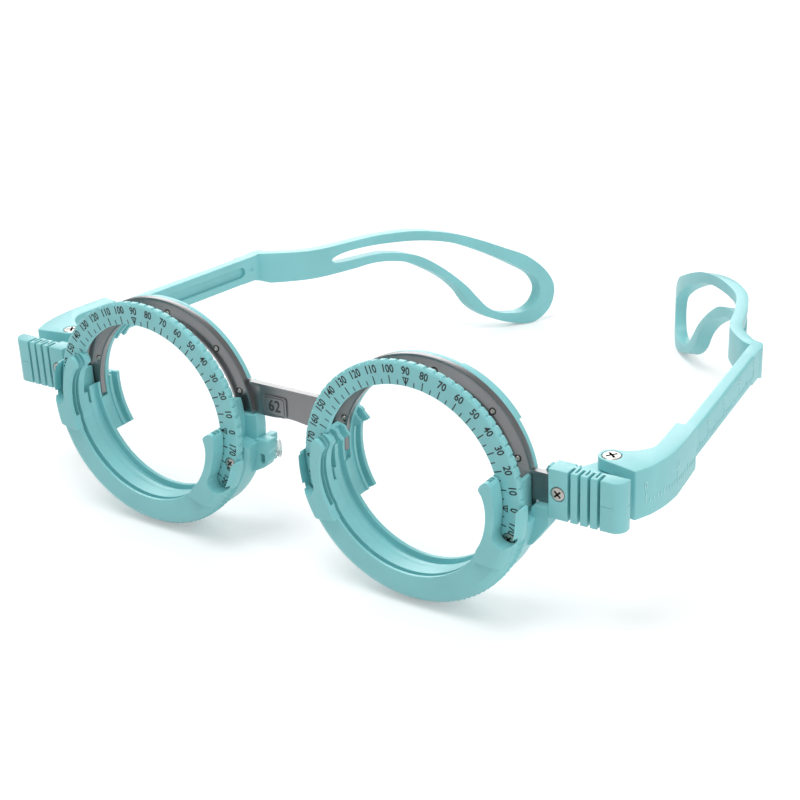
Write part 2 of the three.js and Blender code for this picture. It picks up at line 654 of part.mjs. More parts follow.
function middleClaws() {
  const inner = MIDDLE_BARB_RADIUS - OVERRUN;
  const blank = ring([
    [inner, MIDDLE_CLAW_FRONT_Y],
    [MIDDLE_CLAW_RADIUS, MIDDLE_CLAW_FRONT_Y],
    [MIDDLE_CLAW_RADIUS, MIDDLE_CLAW_BACK_Y],
    [inner, MIDDLE_CLAW_BACK_Y],
    [inner, MIDDLE_GROOVE_BACK_Y],
    [GROOVE_RADIUS, MIDDLE_GROOVE_BACK_Y],
    [GROOVE_RADIUS, MIDDLE_GROOVE_FRONT_Y],
    [inner, MIDDLE_GROOVE_FRONT_Y],
  ]);
  const outer = MIDDLE_CLAW_RADIUS + OVERRUN;
  const root = SHELL_TOP_ANGLE - BARB_SPAN_ANGLE;
  const nose = noseClaw(outer, CELL_RADIUS, MIDDLE_BARB_RADIUS, MIDDLE_NOSE_CLAW_ANGLE, 180 - root);
  const temple = [
    ...arc(outer, root, MIDDLE_TEMPLE_CLAW_ANGLE - BARB_SPAN_ANGLE),
    ...arc(CELL_RADIUS, MIDDLE_TEMPLE_CLAW_ANGLE, root),
  ];
  const yFrom = MIDDLE_CLAW_FRONT_Y - OVERRUN;
  const yTo = MIDDLE_CLAW_BACK_Y + OVERRUN;
  return blank.intersect(frontPrism(nose, yFrom, yTo).add(frontPrism(temple, yFrom, yTo)));
}

function rearClaws() {
  const inner = REAR_BARB_RADIUS - OVERRUN;
  const blank = ring([
    [inner, REAR_LIP_FRONT_Y],
    [REAR_CELL_RADIUS, REAR_LIP_FRONT_Y],
    [REAR_CELL_RADIUS, REAR_CELL_BACK_Y - REAR_CELL_EDGE],
    [REAR_CELL_RADIUS - REAR_CELL_EDGE, REAR_CELL_BACK_Y],
    [inner, REAR_CELL_BACK_Y],
    [inner, REAR_GROOVE_BACK_Y],
    [GROOVE_RADIUS, REAR_GROOVE_BACK_Y],
    [GROOVE_RADIUS, REAR_GROOVE_FRONT_Y],
    [inner, REAR_GROOVE_FRONT_Y],
  ]);
  const outer = REAR_CELL_RADIUS + OVERRUN;
  const yFrom = REAR_LIP_FRONT_Y - OVERRUN;
  const yTo = REAR_CELL_BACK_Y + OVERRUN;
  const root = REAR_CELL_LOW_ANGLE;
  const outlines = [
    noseClaw(outer, REAR_LIP_RADIUS, REAR_BARB_RADIUS, REAR_NOSE_CLAW_ANGLE, 180 - root),
    band(REAR_LIP_RADIUS, outer, root, REAR_TEMPLE_CLAW_ANGLE),
    band(REAR_LIP_RADIUS, outer, TOP_CLAW_START_ANGLE, TOP_CLAW_END_ANGLE),
  ];
  return blank.intersect(joined(outlines.map((outline) => frontPrism(outline, yFrom, yTo))));
}

// Shoulder under the end tab of the bar, on the temple side: shares of its inner edge and of its depth
const SHOULDER_END_SHARE = 0.4;
const SHOULDER_FOOT_SHARE = 0.93;
const SHOULDER_ROOT_SHARE = 0.91;
const SHOULDER_WAIST_SHARE = 0.98;
const SHOULDER_WAIST_DEEP_SHARE = 0.34;

function shoulder() {
  const inner = BAR_OUTER_RADIUS + RUN_GAP + REAR_RING_GAP;
  const end = BLOCK_INNER_X - RUN_GAP - RING_X;
  const outline = pairs([
    [inner, SHOULDER_TOP],
    [end, SHOULDER_TOP],
    [end, SHOULDER_TOP - SHOULDER_END_SHARE * SHOULDER_DEEP],
    [inner, SHOULDER_TOP - SHOULDER_FOOT_SHARE * SHOULDER_DEEP],
    [SHOULDER_ROOT_SHARE * inner, SHOULDER_TOP - SHOULDER_DEEP],
    [SHOULDER_WAIST_SHARE * inner, SHOULDER_TOP - SHOULDER_WAIST_DEEP_SHARE * SHOULDER_DEEP],
  ]);
  return frontPrism(outline, SHOULDER_FRONT_Y, SHOULDER_BACK_Y);
}

// Lug on the nose side and its small hole: shares of its reach and of its depth
const lugShares = [
  [0.861, 0], [0.985, 0], [1, 0.06], [1, 0.22], [0.98, 0.3], [0.98, 0.5],
  [0.945, 0.68], [0.75, 1], [0.79, 0.7], [0.857, 0.3],
];
const lugHoleShares = [[0.95, 0.36], [0.908, 0.34], [0.905, 0.56], [0.925, 0.62], [0.948, 0.54]];

function lugPoint([reachShare, deepShare]) {
  return new THREE.Vector2(-reachShare * LUG_REACH, LUG_TOP - deepShare * LUG_DEEP);
}

// The lug has the upright post of the nose pad behind it
function noseLug() {
  const outline = lugShares.map(lugPoint);
  const hole = lugHoleShares.map(lugPoint);
  const plate = frontPrism(outline, LUG_FRONT_Y, BODY_BACK_Y);
  const cut = frontPrism(hole, LUG_FRONT_Y - OVERRUN, BODY_BACK_Y + OVERRUN);
  const half = PAD_ARM_THICK / 2;
  const armBack = PAD_POST_Y + PAD_POST_RADIUS;
  const armLow = PAD_POST_TOP - PAD_ARM_THICK;
  const arm = box(
    PAD_POST_X - half, PAD_POST_X + half, BODY_BACK_Y - BODY_EDGE, armBack, armLow, PAD_POST_TOP);
  const post = rodZ(PAD_POST_X, PAD_POST_Y, PAD_POST_RADIUS, PAD_POST_LOW, PAD_POST_TOP - half);
  return joined([plate.subtract(cut), arm, post]);
}

// Wall in line with the bar below its nose end
function noseWall() {
  const inner = BAR_INNER_RADIUS + BAR_INNER_LIP + RUN_GAP;
  const low = 180 - SHELL_TOP_ANGLE + BARB_SPAN_ANGLE;
  const outline = band(inner, BODY_RADIUS - BODY_EDGE, NOSE_WALL_TOP_ANGLE, low);
  return frontPrism(outline, MIDDLE_CLAW_BACK_Y - NOSE_WALL_SETBACK, REAR_RING_BACK_Y - NOSE_WALL_SETBACK);
}

// Upright wall between the dial and the bar on the temple side
function templeWall() {
  const outer = BAR_OUTER_RADIUS - BAR_OUTER_LIP - CLAW_CLEAR;
  const front = BODY_FRONT_Y + BODY_EDGE;
  const back = BAR_WEB_Y - CLAW_CLEAR;
  return box(outer - TEMPLE_WALL, outer, front, back, TEMPLE_WALL_LOW, TEMPLE_WALL_TOP);
}

function bodySolid(pinAngles) {
  const rearRing = ring([
    [CELL_RADIUS, REAR_RING_FRONT_Y],
    [REAR_RING_RADIUS, REAR_RING_FRONT_Y],
    [REAR_RING_RADIUS, REAR_RING_BACK_Y],
    [CELL_RADIUS, REAR_RING_BACK_Y],
  ]);
  const rearArc = wedge(BODY_RADIUS, REAR_CELL_LOW_ANGLE, 180 - REAR_CELL_LOW_ANGLE);
  const rearHalf = rearRing.intersect(frontPrism(rearArc, REAR_RING_FRONT_Y, REAR_RING_BACK_Y));
  const claws = [middleClaws(), rearClaws()];
  let body = joined([shellSolid(), rearHalf, ...claws, noseWall(), templeWall(), shoulder(), noseLug()]);
  for (const angle of [DIAL_SCREW_ANGLE, 180 - DIAL_SCREW_ANGLE]) {
    const at = polar(DIAL_SCREW_REACH, angle);
    const bossTop = DIAL_THICK + SEAT_GAP;
    body = body.add(rodY(at.x, at.y, SCREW_BOSS_RADIUS, bossTop, BODY_FRONT_Y + BODY_EDGE));
    const holeRadius = DIAL_SCREW_SHANK + SEAT_GAP;
    body = body.subtract(
      rodY(at.x, at.y, holeRadius, bossTop - OVERRUN, DIAL_SCREW_LENGTH + RUN_GAP));
  }
  for (const angle of pinAngles) {
    const at = polar(PIN_REACH, angle);
    const holeRadius = PIN_SHANK + SEAT_GAP;
    const holeEnd = REAR_RING_FRONT_Y + PIN_DEEP;
    body = body.subtract(rodY(at.x, at.y, holeRadius, REAR_RING_FRONT_Y - OVERRUN, holeEnd));
  }
  return body;
}

// Bar

function barHalf(pinAngles) {
  const channel = ring([
    [BAR_INNER_RADIUS, BAR_FRONT_Y],
    [BAR_INNER_RADIUS + BAR_INNER_LIP, BAR_FRONT_Y],
    [BAR_INNER_RADIUS + BAR_INNER_LIP, BAR_WEB_Y],
    [BAR_OUTER_RADIUS - BAR_OUTER_LIP, BAR_WEB_Y],
    [BAR_OUTER_RADIUS - BAR_OUTER_LIP, BAR_FRONT_Y],
    [BAR_OUTER_RADIUS, BAR_FRONT_Y],
    [BAR_OUTER_RADIUS, BAR_BACK_Y],
    [BAR_INNER_RADIUS, BAR_BACK_Y],
  ]);
  const over = [
    ...wedge(BAR_OUTER_RADIUS + OVERRUN, BAR_TEMPLE_ANGLE, BAR_NOSE_ANGLE),
    ...arc(BAR_INNER_RADIUS + BAR_INNER_LIP, BAR_NOSE_ANGLE, BAR_LIP_END_ANGLE),
  ];
  let half = channel.intersect(frontPrism(over, BAR_FRONT_Y - OVERRUN, BAR_BACK_Y + OVERRUN));
  const tabStart = BAR_OUTER_RADIUS - BAR_OUTER_LIP;
  const tabEnd = TAB_END_X - RING_X;
  const flangeTop = TAB_TOP - TAB_FLANGE;
  const open = box(
    tabStart - BAR_OUTER_LIP, tabEnd, BAR_FRONT_Y - OVERRUN, BAR_WEB_Y, TEMPLE_WALL_LOW, flangeTop);
  half = half.subtract(open);
  const plate = box(tabStart, tabEnd, TAB_FRONT_Y, BAR_BACK_Y, TAB_LOW, TAB_TOP);
  const flange = box(tabStart, tabEnd, BAR_FRONT_Y, BAR_BACK_Y, flangeTop, TAB_TOP);
  half = joined([half, plate, flange]);
  const holeX = BLOCK_SCREW_X - RING_X;
  const tabHole = BLOCK_SCREW_SHANK + SEAT_GAP;
  half = half.subtract(
    rodY(holeX, BLOCK_SCREW_Z, tabHole, BAR_FRONT_Y - OVERRUN, BAR_BACK_Y + OVERRUN));
  for (const angle of pinAngles) {
    const at = polar(PIN_REACH, angle);
    const holeRadius = PIN_SHANK + SEAT_GAP;
    half = half.subtract(rodY(at.x, at.y, holeRadius, BAR_WEB_Y - OVERRUN, BAR_BACK_Y + OVERRUN));
  }
  return geometryOf(half);
}

function roundedLabel() {
  const halfWide = LABEL_WIDE / 2;
  const halfHigh = LABEL_HIGH / 2;
  const corners = [[1, 1, 0], [-1, 1, 90], [-1, -1, 180], [1, -1, 270]];
  const points = [];
  for (const [right, up, start] of corners) {
    const x = LABEL_X + right * (halfWide - LABEL_CORNER);
    const z = LABEL_Z + up * (halfHigh - LABEL_CORNER);
    for (const turn of [0, 45, 90]) {
      points.push(polar(LABEL_CORNER, start + turn).add(new THREE.Vector2(x, z)));
    }
  }
  return points;
}

// Lower edge of the strap: shares of its half length and of its arch
const strapShares = [[-1, 1], [-0.75, 0], [-0.4, 0], [0, 1], [0.4, 0], [0.75, 0], [1, 1]];
const STRAP_FLANGE_SHARE = 0.9;

function barSolid() {
  const left = barHalf(pinAnglesOf(1)).translate(RING_X, 0, 0);
  const right = mirrored(barHalf(pinAnglesOf(-1))).translate(-RING_X, 0, 0);
  const middleZ = (STRAP_TOP + STRAP_LOW) / 2;
  const end = RING_X - Math.sqrt(BAR_OUTER_RADIUS ** 2 - middleZ ** 2) + STRAP_INTO_ARC;
  const lowEdge = strapShares.map(([endShare, archShare]) => (
    new THREE.Vector2(endShare * end, STRAP_LOW + archShare * STRAP_ARCH)));
  const strap = [...lowEdge, new THREE.Vector2(end, STRAP_TOP), new THREE.Vector2(-end, STRAP_TOP)];
  const flangeEnd = STRAP_FLANGE_SHARE * end;
  const plate = frontPrism(strap, STRAP_FRONT_Y, BAR_BACK_Y);
  const flange = box(-flangeEnd, flangeEnd, BAR_FRONT_Y, BAR_BACK_Y, STRAP_TOP - STRAP_FLANGE, STRAP_TOP);
  const label = frontPrism(roundedLabel(), STRAP_FRONT_Y - LABEL_RAISED, BAR_BACK_Y);
  return joined([solid(left), solid(right), plate, flange, label]);
}

// Pin of the bar, its head in front at y = 0
function pinSolid() {
  const headFront = -PIN_HEAD_THICK;
  const tip = BAR_BACK_Y - BAR_WEB_Y + PIN_DEEP;
  return rodY(0, 0, PIN_HEAD / 2, headFront, headFront / 2, PIN_HEAD)
    .add(rodY(0, 0, PIN_HEAD, headFront / 2, -SEAT_GAP / 2))
    .add(rodY(0, 0, PIN_SHANK, headFront / 2, tip));
}

// Hinge block, built round the pivot

function hingeBlockSolid() {
  const x = (place) => place - PIVOT_X;
  const y = (place) => place - PIVOT_Y;
  const front = y(BLOCK_FRONT_Y);
  const back = y(STRIP_BACK_Y);
  const paddle = x(PADDLE_END_X);
  const strip = [
    ...pairs([[x(BLOCK_INNER_X), front], [paddle - PADDLE_ROUND, front]]),
    new THREE.Vector2(paddle - PADDLE_ROUND / 3, front + PADDLE_ROUND / 3),
    new THREE.Vector2(paddle, front + PADDLE_ROUND),
    ...pairs([[paddle, back], [x(BLOCK_INNER_X), back]]),
  ];
  let block = planPrism(strip, BLOCK_LOW, BLOCK_TOP);
  const low = BLOCK_LOW - OVERRUN;
  const top = BLOCK_TOP + OVERRUN;
  for (let i = 0; i < SLOT_COUNT; i++) {
    const slotX = x(FIRST_SLOT_X + i * SLOT_STEP);
    const half = SLOT_WIDE / 2;
    block = block.subtract(box(slotX - half, slotX + half, front - OVERRUN, front + SLOT_DEEP, low, top));
    if (i < SLOT_COUNT - 1) {
      const rearX = slotX + SLOT_STEP / 2;
      const rearHalf = REAR_SLOT_WIDE / 2;
      const rearBox = box(rearX - rearHalf, rearX + rearHalf, back - SLOT_DEEP, back + OVERRUN, low, top);
      block = block.subtract(rearBox);
    }
  }
  const clampEnd = x(CLAMP_END_X);
  const clampBack = y(CLAMP_BACK_Y);
  const clamp = box(x(BLOCK_INNER_X), clampEnd, front, front + CLAMP_FRONT_THICK, BLOCK_LOW, BLOCK_TOP);
  const peak = pairs([
    [x(CLAMP_REAR_X), SHOULDER_TOP + RUN_GAP],
    [clampEnd, SHOULDER_TOP + RUN_GAP],
    [clampEnd, BLOCK_TOP - LUG_WALL],
    [x(BLOCK_INNER_X), CLAMP_PEAK_Z - LUG_WALL],
    [x(CLAMP_REAR_X) + LUG_WALL, CLAMP_PEAK_Z],
    [x(CLAMP_REAR_X), CLAMP_PEAK_Z - 2 * LUG_WALL],
  ]);
  const rearWall = frontPrism(peak, y(BAR_BACK_Y + SEAT_GAP), clampBack);
  const eyeTo = (px, py, side) => {
    const away = Math.atan2(py, px);
    const turn = Math.acos(EYE_RADIUS / Math.hypot(px, py));
    return THREE.MathUtils.radToDeg(away + side * turn);
  };
  const rootInner = new THREE.Vector2(x(LUG_ROOT_INNER_X), clampBack - BODY_EDGE);
  const rootOuter = new THREE.Vector2(x(LUG_ROOT_OUTER_X), clampBack - BODY_EDGE);
  const from = eyeTo(rootOuter.x, rootOuter.y, 1);
  const to = eyeTo(rootInner.x, rootInner.y, -1) + 360;
  const lugOutline = [rootInner, rootOuter, ...arc(EYE_RADIUS, from, to)];
  const lug = planPrism(lugOutline, LUG_PLATE_LOW, LUG_PLATE_TOP);
  const pocket = box(
    x(BLOCK_INNER_X) - OVERRUN, x(TAB_END_X) + SEAT_GAP,
    y(BAR_FRONT_Y) - SEAT_GAP, y(BAR_BACK_Y) + SEAT_GAP,
    TAB_LOW - SEAT_GAP, TAB_TOP + SEAT_GAP);
  block = joined([block, clamp, rearWall, lug]).subtract(pocket);
  block = block.subtract(screwHole(
    x(BLOCK_SCREW_X), BLOCK_SCREW_Z, front,
    BLOCK_SCREW_HEAD, BLOCK_SCREW_HEAD_DEEP, BLOCK_SCREW_SHANK, BLOCK_SCREW_LENGTH));
  const bore = HINGE_SCREW_SHANK + FORK_GAP;
  return block.subtract(rodZ(0, 0, bore, LUG_PLATE_LOW - OVERRUN, LUG_PLATE_TOP + OVERRUN));
}

// Hinge screw, upright, head at the top of the fork

function hingeScrewSolid() {
  const length = SLEEVE_TOP - SLEEVE_LOW - NUT_SUNK;
  return screw(HINGE_SCREW_HEAD, HINGE_SCREW_HEAD_DEEP, HINGE_SCREW_SHANK, length);
}

function hingeNutSolid() {
  const across = HINGE_NUT_FLATS / Math.sqrt(3);
  const low = SLEEVE_LOW + NUT_SUNK;
  const nut = rodZ(0, 0, across, low, low + HINGE_NUT_THICK, across, 6);
  const bore = HINGE_SCREW_SHANK + SEAT_GAP / 2;
  return nut.subtract(rodZ(0, 0, bore, low - OVERRUN, low + HINGE_NUT_THICK + OVERRUN));
}

// Sleeve, built round the pivot with its arm straight back along Y

const CORNER_IN_SHARE = 0.6;
const CORNER_FORE_SHARE = 0.265;

// Outline of the sleeve in plan, from its front corner to the knuckle: shares of its width and length
const sleeveShares = [
  [0.785, -0.08], [0.905, 0.14], [0.975, 0.39], [0.995, 0.6], [1, 0.8], [1, 1], [0.597, 1],
  [0.597, 0.6], [0.57, 0.376], [0.465, 0.274], [0.318, 0.2], [0.12, 0.15],
];

// Front end of the sleeve, where its low edge starts to rise and where it has risen the first part
const SIDE_FRONT_SHARE = 0.5;
const SIDE_LEVEL_SHARE = 0.42;
const SIDE_RISE_SHARE = 0.6;
const RISE_FIRST_SHARE = 0.5;

function sleeveOutline() {
  const outer = SLEEVE_WIDE;
  const long = SLEEVE_END;
  const cornerX = CORNER_IN_SHARE * outer;
  const cornerY = -CORNER_FORE_SHARE * long;
  const reach = Math.hypot(cornerX, cornerY);
  const tangent = Math.atan2(cornerY, cornerX) - Math.acos(KNUCKLE_RADIUS / reach);
  const from = THREE.MathUtils.radToDeg(tangent);
  return [
    new THREE.Vector2(cornerX, cornerY),
    ...sleeveShares.map(([wideShare, longShare]) => new THREE.Vector2(wideShare * outer, longShare * long)),
    ...arc(KNUCKLE_RADIUS, 88, from + 360),
  ];
}

function sleeveSolid() {
  const long = SLEEVE_END;
  const front = -SIDE_FRONT_SHARE * long;
  const side = pairs([
    [front, SLEEVE_LOW],
    [SIDE_LEVEL_SHARE * long, SLEEVE_LOW],
    [SIDE_RISE_SHARE * long, SLEEVE_LOW + RISE_FIRST_SHARE * SLEEVE_RISE],
    [long, SLEEVE_LOW + SLEEVE_RISE],
    [long, SLEEVE_TOP],
    [front, SLEEVE_TOP],
  ]);
  let sleeve = planPrism(sleeveOutline(), SLEEVE_LOW, SLEEVE_TOP);
  sleeve = sleeve.intersect(sidePrism(side, -SLEEVE_WIDE, 2 * SLEEVE_WIDE));
  const slotLow = LUG_PLATE_LOW - FORK_GAP;
  const slotTop = LUG_PLATE_TOP + FORK_GAP;
  const slot = rodZ(0, 0, EYE_RADIUS + RUN_GAP, slotLow, slotTop, EYE_RADIUS + RUN_GAP, ROUND_STEPS / 2);
  const armIn = ARM_OUT - ARM_THICK - FORK_GAP;
  const armOut = ARM_OUT + FORK_GAP;
  const cavityOutline = pairs([
    [armIn, CAVITY_START],
    [armOut - CHAMFER_WIDE, CAVITY_START],
    [armOut, CAVITY_START + CHAMFER_LONG],
    [armOut, long + OVERRUN],
    [armIn, long + OVERRUN],
  ]);
  const cavity = planPrism(cavityOutline, ARM_LOW - FORK_GAP, ARM_TOP + FORK_GAP);
  const stopY = long - STOP_PIN_INSET;
  const pin = box(
    armIn - FORK_GAP, armIn + FORK_GAP + RECESS_DEEP - SEAT_GAP,
    stopY - STOP_PIN_RADIUS, stopY + STOP_PIN_RADIUS,
    RECESS_Z - STOP_PIN_RADIUS, RECESS_Z + STOP_PIN_RADIUS);
  sleeve = sleeve.subtract(slot).subtract(cavity).add(pin);
  const headTop = SLEEVE_TOP - HINGE_SCREW_HEAD_DEEP - SEAT_GAP;
  const bore = HINGE_SCREW_SHANK + SEAT_GAP;
  const head = rodZ(0, 0, bore, headTop, SLEEVE_TOP, HINGE_SCREW_HEAD + SEAT_GAP);
  const shaft = rodZ(0, 0, bore, SLEEVE_LOW - OVERRUN, SLEEVE_TOP + OVERRUN);
  const nutRadius = HINGE_NUT_FLATS / Math.sqrt(3) + SEAT_GAP;
  const nutTop = SLEEVE_LOW + NUT_SUNK + HINGE_NUT_THICK + SEAT_GAP;
  const nutPocket = rodZ(0, 0, nutRadius, SLEEVE_LOW - OVERRUN, nutTop, nutRadius, 6);
  return sleeve.subtract(joined([head, shaft, nutPocket]));
}

// Arm, in the same place and direction as its sleeve

// Middle line of the bend in plan: shares of how far in and how far back it goes
const bendShares = [
  [0.07, 0.04], [0.19, 0.158], [0.244, 0.317], [0.32, 0.461], [0.487, 0.584],
  [0.69, 0.72], [0.86, 0.85], [0.962, 0.965], [1, 1.052],
];

// Outer edge of the loop in side view: shares of its length and of its drop
const loopTopShares = [
  [0.02, 0.222], [0.23, 0.173], [0.46, 0.165], [0.565, 0.165], [0.665, 0.1],
  [0.74, 0.005], [0.817, -0.115], [0.89, -0.235], [0.96, -0.43], [1, -0.64],
  [0.985, -0.85], [0.93, -0.985], [0.875, -1],
];
const loopLowShares = [
  [0.8, -0.933], [0.745, -0.838], [0.708, -0.72], [0.676, -0.536], [0.626, -0.363],
  [0.545, -0.194], [0.493, -0.144], [0.416, -0.124], [0.314, -0.132], [0.2, -0.12], [0.02, -0.09],
];

// Edge of the opening in the loop, going round once
const openingShares = [
  [0.245, 0.045], [0.32, 0.075], [0.46, 0.065], [0.565, 0.06], [0.66, 0], [0.76, -0.15],
  [0.855, -0.335], [0.915, -0.475], [0.94, -0.64], [0.92, -0.79], [0.87, -0.865],
  [0.8, -0.84], [0.757, -0.76], [0.725, -0.63], [0.69, -0.475], [0.63, -0.275],
  [0.56, -0.11], [0.48, -0.045], [0.4, -0.035], [0.3, -0.03], [0.25, -0.01],
];

const LOOP_STEPS = 2;

function loopPoint([alongShare, dropShare]) {
  return new THREE.Vector2(ARM_STRAIGHT_END + alongShare * LOOP_LONG, dropShare * LOOP_DROP);
}

function smooth(points, closed = false) {
  const shape = new THREE.Shape();
  shape.moveTo(points[0].x, points[0].y);
  shape.splineThru(closed ? [...points.slice(1), points[0]] : points.slice(1));
  const line = shape.getPoints(LOOP_STEPS);
  return closed ? line.slice(0, -1) : line;
}

function bendOutline() {
  const middle = ARM_OUT - ARM_THICK / 2;
  const line = [new THREE.Vector2(middle, ARM_STRAIGHT_END - ARM_SPLIT_OVERLAP)];
  line.push(new THREE.Vector2(middle, ARM_STRAIGHT_END));
  for (const [inShare, alongShare] of bendShares) {
    line.push(new THREE.Vector2(middle - inShare * LOOP_IN, ARM_STRAIGHT_END + alongShare * LOOP_LONG));
  }
  const outer = [];
  const inner = [];
  line.forEach((point, i) => {
    const before = line[Math.max(0, i - 1)];
    const after = line[Math.min(line.length - 1, i + 1)];
    const along = after.clone().sub(before).normalize();
    const thick = i < 2 ? ARM_THICK : LOOP_THICK;
    const out = new THREE.Vector2(along.y, -along.x).multiplyScalar(thick / 2);
    outer.push(point.clone().add(out));
    inner.push(point.clone().sub(out));
  });
  return [...outer, ...inner.reverse()];
}

function armSolid() {
  const inFace = ARM_OUT - ARM_THICK;
  const section = pairs([
    [inFace, ARM_LOW], [ARM_OUT - ARM_EDGE, ARM_LOW], [ARM_OUT, ARM_LOW + ARM_EDGE],
    [ARM_OUT, ARM_TOP - ARM_EDGE], [ARM_OUT - ARM_EDGE, ARM_TOP], [inFace, ARM_TOP],
  ]);
  let strip = frontPrism(section, ARM_START, ARM_STRAIGHT_END + ARM_EDGE);
  const round = RECESS_HIGH / 2;
  const roundEnd = [-90, -45, 0, 45, 90].map((angle) => polar(round, angle));
  const recess = [
    new THREE.Vector2(RECESS_START, RECESS_Z + round),
    new THREE.Vector2(RECESS_START, RECESS_Z - round),
    ...roundEnd.map((point) => point.add(new THREE.Vector2(RECESS_END - round, RECESS_Z))),
  ];
  strip = strip.subtract(sidePrism(recess, inFace - OVERRUN, inFace + RECESS_DEEP));
  const slope = CHAMFER_WIDE / CHAMFER_LONG;
  const chamfer = pairs([
    [ARM_OUT - CHAMFER_WIDE - OVERRUN * slope, ARM_START - OVERRUN],
    [ARM_OUT + OVERRUN, ARM_START - OVERRUN],
    [ARM_OUT + OVERRUN, ARM_START + CHAMFER_LONG + OVERRUN / slope],
  ]);
  strip = strip.subtract(planPrism(chamfer, ARM_LOW - OVERRUN, ARM_TOP + OVERRUN));
  const drop = 2 * LOOP_DROP;
  const plan = planPrism(bendOutline(), -drop, drop);
  const start = new THREE.Vector2(ARM_STRAIGHT_END - ARM_SPLIT_OVERLAP, ARM_LOW);
  const startTop = new THREE.Vector2(start.x, ARM_TOP);
  const outline = [startTop, ...smooth([...loopTopShares, ...loopLowShares].map(loopPoint)), start];
  const opening = smooth(openingShares.map(loopPoint), true);
  const width = 2 * LOOP_IN;
  const loop = plan.intersect(sidePrism(outline, -width, width));
  return strip.add(loop.subtract(sidePrism(opening, -width, width)));
}

// Nose pad, built round its post

function padSolid() {
  const geometry = new THREE.SphereGeometry(1, 14, 8);
  geometry.scale(PAD_LONG / 2, PAD_THICK / 2, PAD_HIGH / 2);
  geometry.translate(0, PAD_OFFSET, (PAD_CLIP_TOP + PAD_CLIP_LOW) / 2);
  const clip = rodZ(0, 0, PAD_CLIP_RADIUS, PAD_CLIP_LOW, PAD_CLIP_TOP);
  const bore = rodZ(0, 0, PAD_POST_RADIUS + RUN_GAP, PAD_CLIP_LOW - OVERRUN, PAD_CLIP_TOP + OVERRUN);
  return solid(geometry).add(clip).subtract(bore);
}

// Assembly

const frame = new THREE.Group();
frame.position.set(0, -STRAP_FRONT_Y, -(STRAP_TOP + STRAP_LOW) / 2);

function place(parent, name, geometry, material) {
  const shape = geometry.clone();
  shape.computeVertexNormals();
  const mesh = new THREE.Mesh(shape, material);
  mesh.name = name;
  parent.add(mesh);
  return mesh;
}

const sides = [
  { name: 'left', sign: 1, turned: 0, toeIn: LEFT_TOE_IN_ANGLE },
  { name: 'right', sign: -1, turned: RIGHT_CARRIER_ANGLE, toeIn: RIGHT_TOE_IN_ANGLE },
];

const shapes = {
  dial: geometryOf(dialSolid()),
  carrier: geometryOf(carrierSolid()),
  pin: geometryOf(pinSolid()),
  block: geometryOf(hingeBlockSolid()),
  sleeve: geometryOf(sleeveSolid()),
  arm: geometryOf(armSolid()),
  pad: geometryOf(padSolid()),
  nut: geometryOf(hingeNutSolid()),
  dialScrew: geometryOf(screw(DIAL_SCREW_HEAD, DIAL_SCREW_HEAD_DEEP, DIAL_SCREW_SHANK, DIAL_SCREW_LENGTH)),
  blockScrew: geometryOf(
    screw(BLOCK_SCREW_HEAD, BLOCK_SCREW_HEAD_DEEP, BLOCK_SCREW_SHANK, BLOCK_SCREW_LENGTH)),
  hingeScrew: geometryOf(hingeScrewSolid()),
};

place(frame, 'bar', geometryOf(barSolid()), greyMetal());

for (const { name, sign, turned, toeIn } of sides) {
  const sided = (geometry) => (sign > 0 ? geometry : mirrored(geometry));

  const eyepiece = new THREE.Group();
  eyepiece.position.set(sign * RING_X, 0, 0);
  frame.add(eyepiece);
  const pinAngles = pinAnglesOf(sign);
  place(eyepiece, `body_${name}`, sided(geometryOf(bodySolid(pinAngles))), cyanPlastic());
  place(eyepiece, `dial_${name}`, shapes.dial, cyanPlastic());
  const carrier = place(eyepiece, `carrier_${name}`, shapes.carrier, cyanPlastic());
  carrier.rotation.y = THREE.MathUtils.degToRad(turned);

  const screwAngles = { temple: DIAL_SCREW_ANGLE, nose: 180 - DIAL_SCREW_ANGLE };
  for (const [where, angle] of Object.entries(screwAngles)) {
    const at = polar(DIAL_SCREW_REACH, angle);
    const dialScrew = place(eyepiece, `dial_screw_${name}_${where}`, shapes.dialScrew, brightSteel());
    dialScrew.position.set(sign * at.x, 0, at.y);
  }

  pinAngles.forEach((angle, i) => {
    const at = polar(PIN_REACH, angle);
    const pin = place(eyepiece, `bar_pin_${name}_${i + 1}`, shapes.pin, brightSteel());
    pin.position.set(sign * at.x, BAR_WEB_Y, at.y);
  });

  const pad = place(eyepiece, `nose_pad_${name}`, sided(shapes.pad), clearSilicone());
  pad.position.set(sign * PAD_POST_X, PAD_POST_Y, 0);
  pad.rotation.z = sign * THREE.MathUtils.degToRad(PAD_YAW_ANGLE);

  const hinge = new THREE.Group();
  hinge.position.set(sign * PIVOT_X, PIVOT_Y, 0);
  frame.add(hinge);
  place(hinge, `hinge_block_${name}`, sided(shapes.block), cyanPlastic());
  const blockScrew = place(hinge, `block_screw_${name}`, shapes.blockScrew, brightSteel());
  blockScrew.position.set(sign * (BLOCK_SCREW_X - PIVOT_X), BLOCK_FRONT_Y - PIVOT_Y, BLOCK_SCREW_Z);

  const temple = new THREE.Group();
  temple.rotation.z = sign * THREE.MathUtils.degToRad(toeIn);
  hinge.add(temple);
  place(temple, `sleeve_${name}`, sided(shapes.sleeve), cyanPlastic());
  place(temple, `arm_${name}`, sided(shapes.arm), cyanPlastic());
  place(temple, `hinge_nut_${name}`, shapes.nut, brightSteel());
  const hingeScrew = place(temple, `hinge_screw_${name}`, shapes.hingeScrew, brightSteel());
  hingeScrew.position.set(0, 0, SLEEVE_TOP);
  hingeScrew.rotation.x = -Math.PI / 2;
}

export default frame;
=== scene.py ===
import math

import bmesh
import bpy
from mathutils import Matrix, Vector


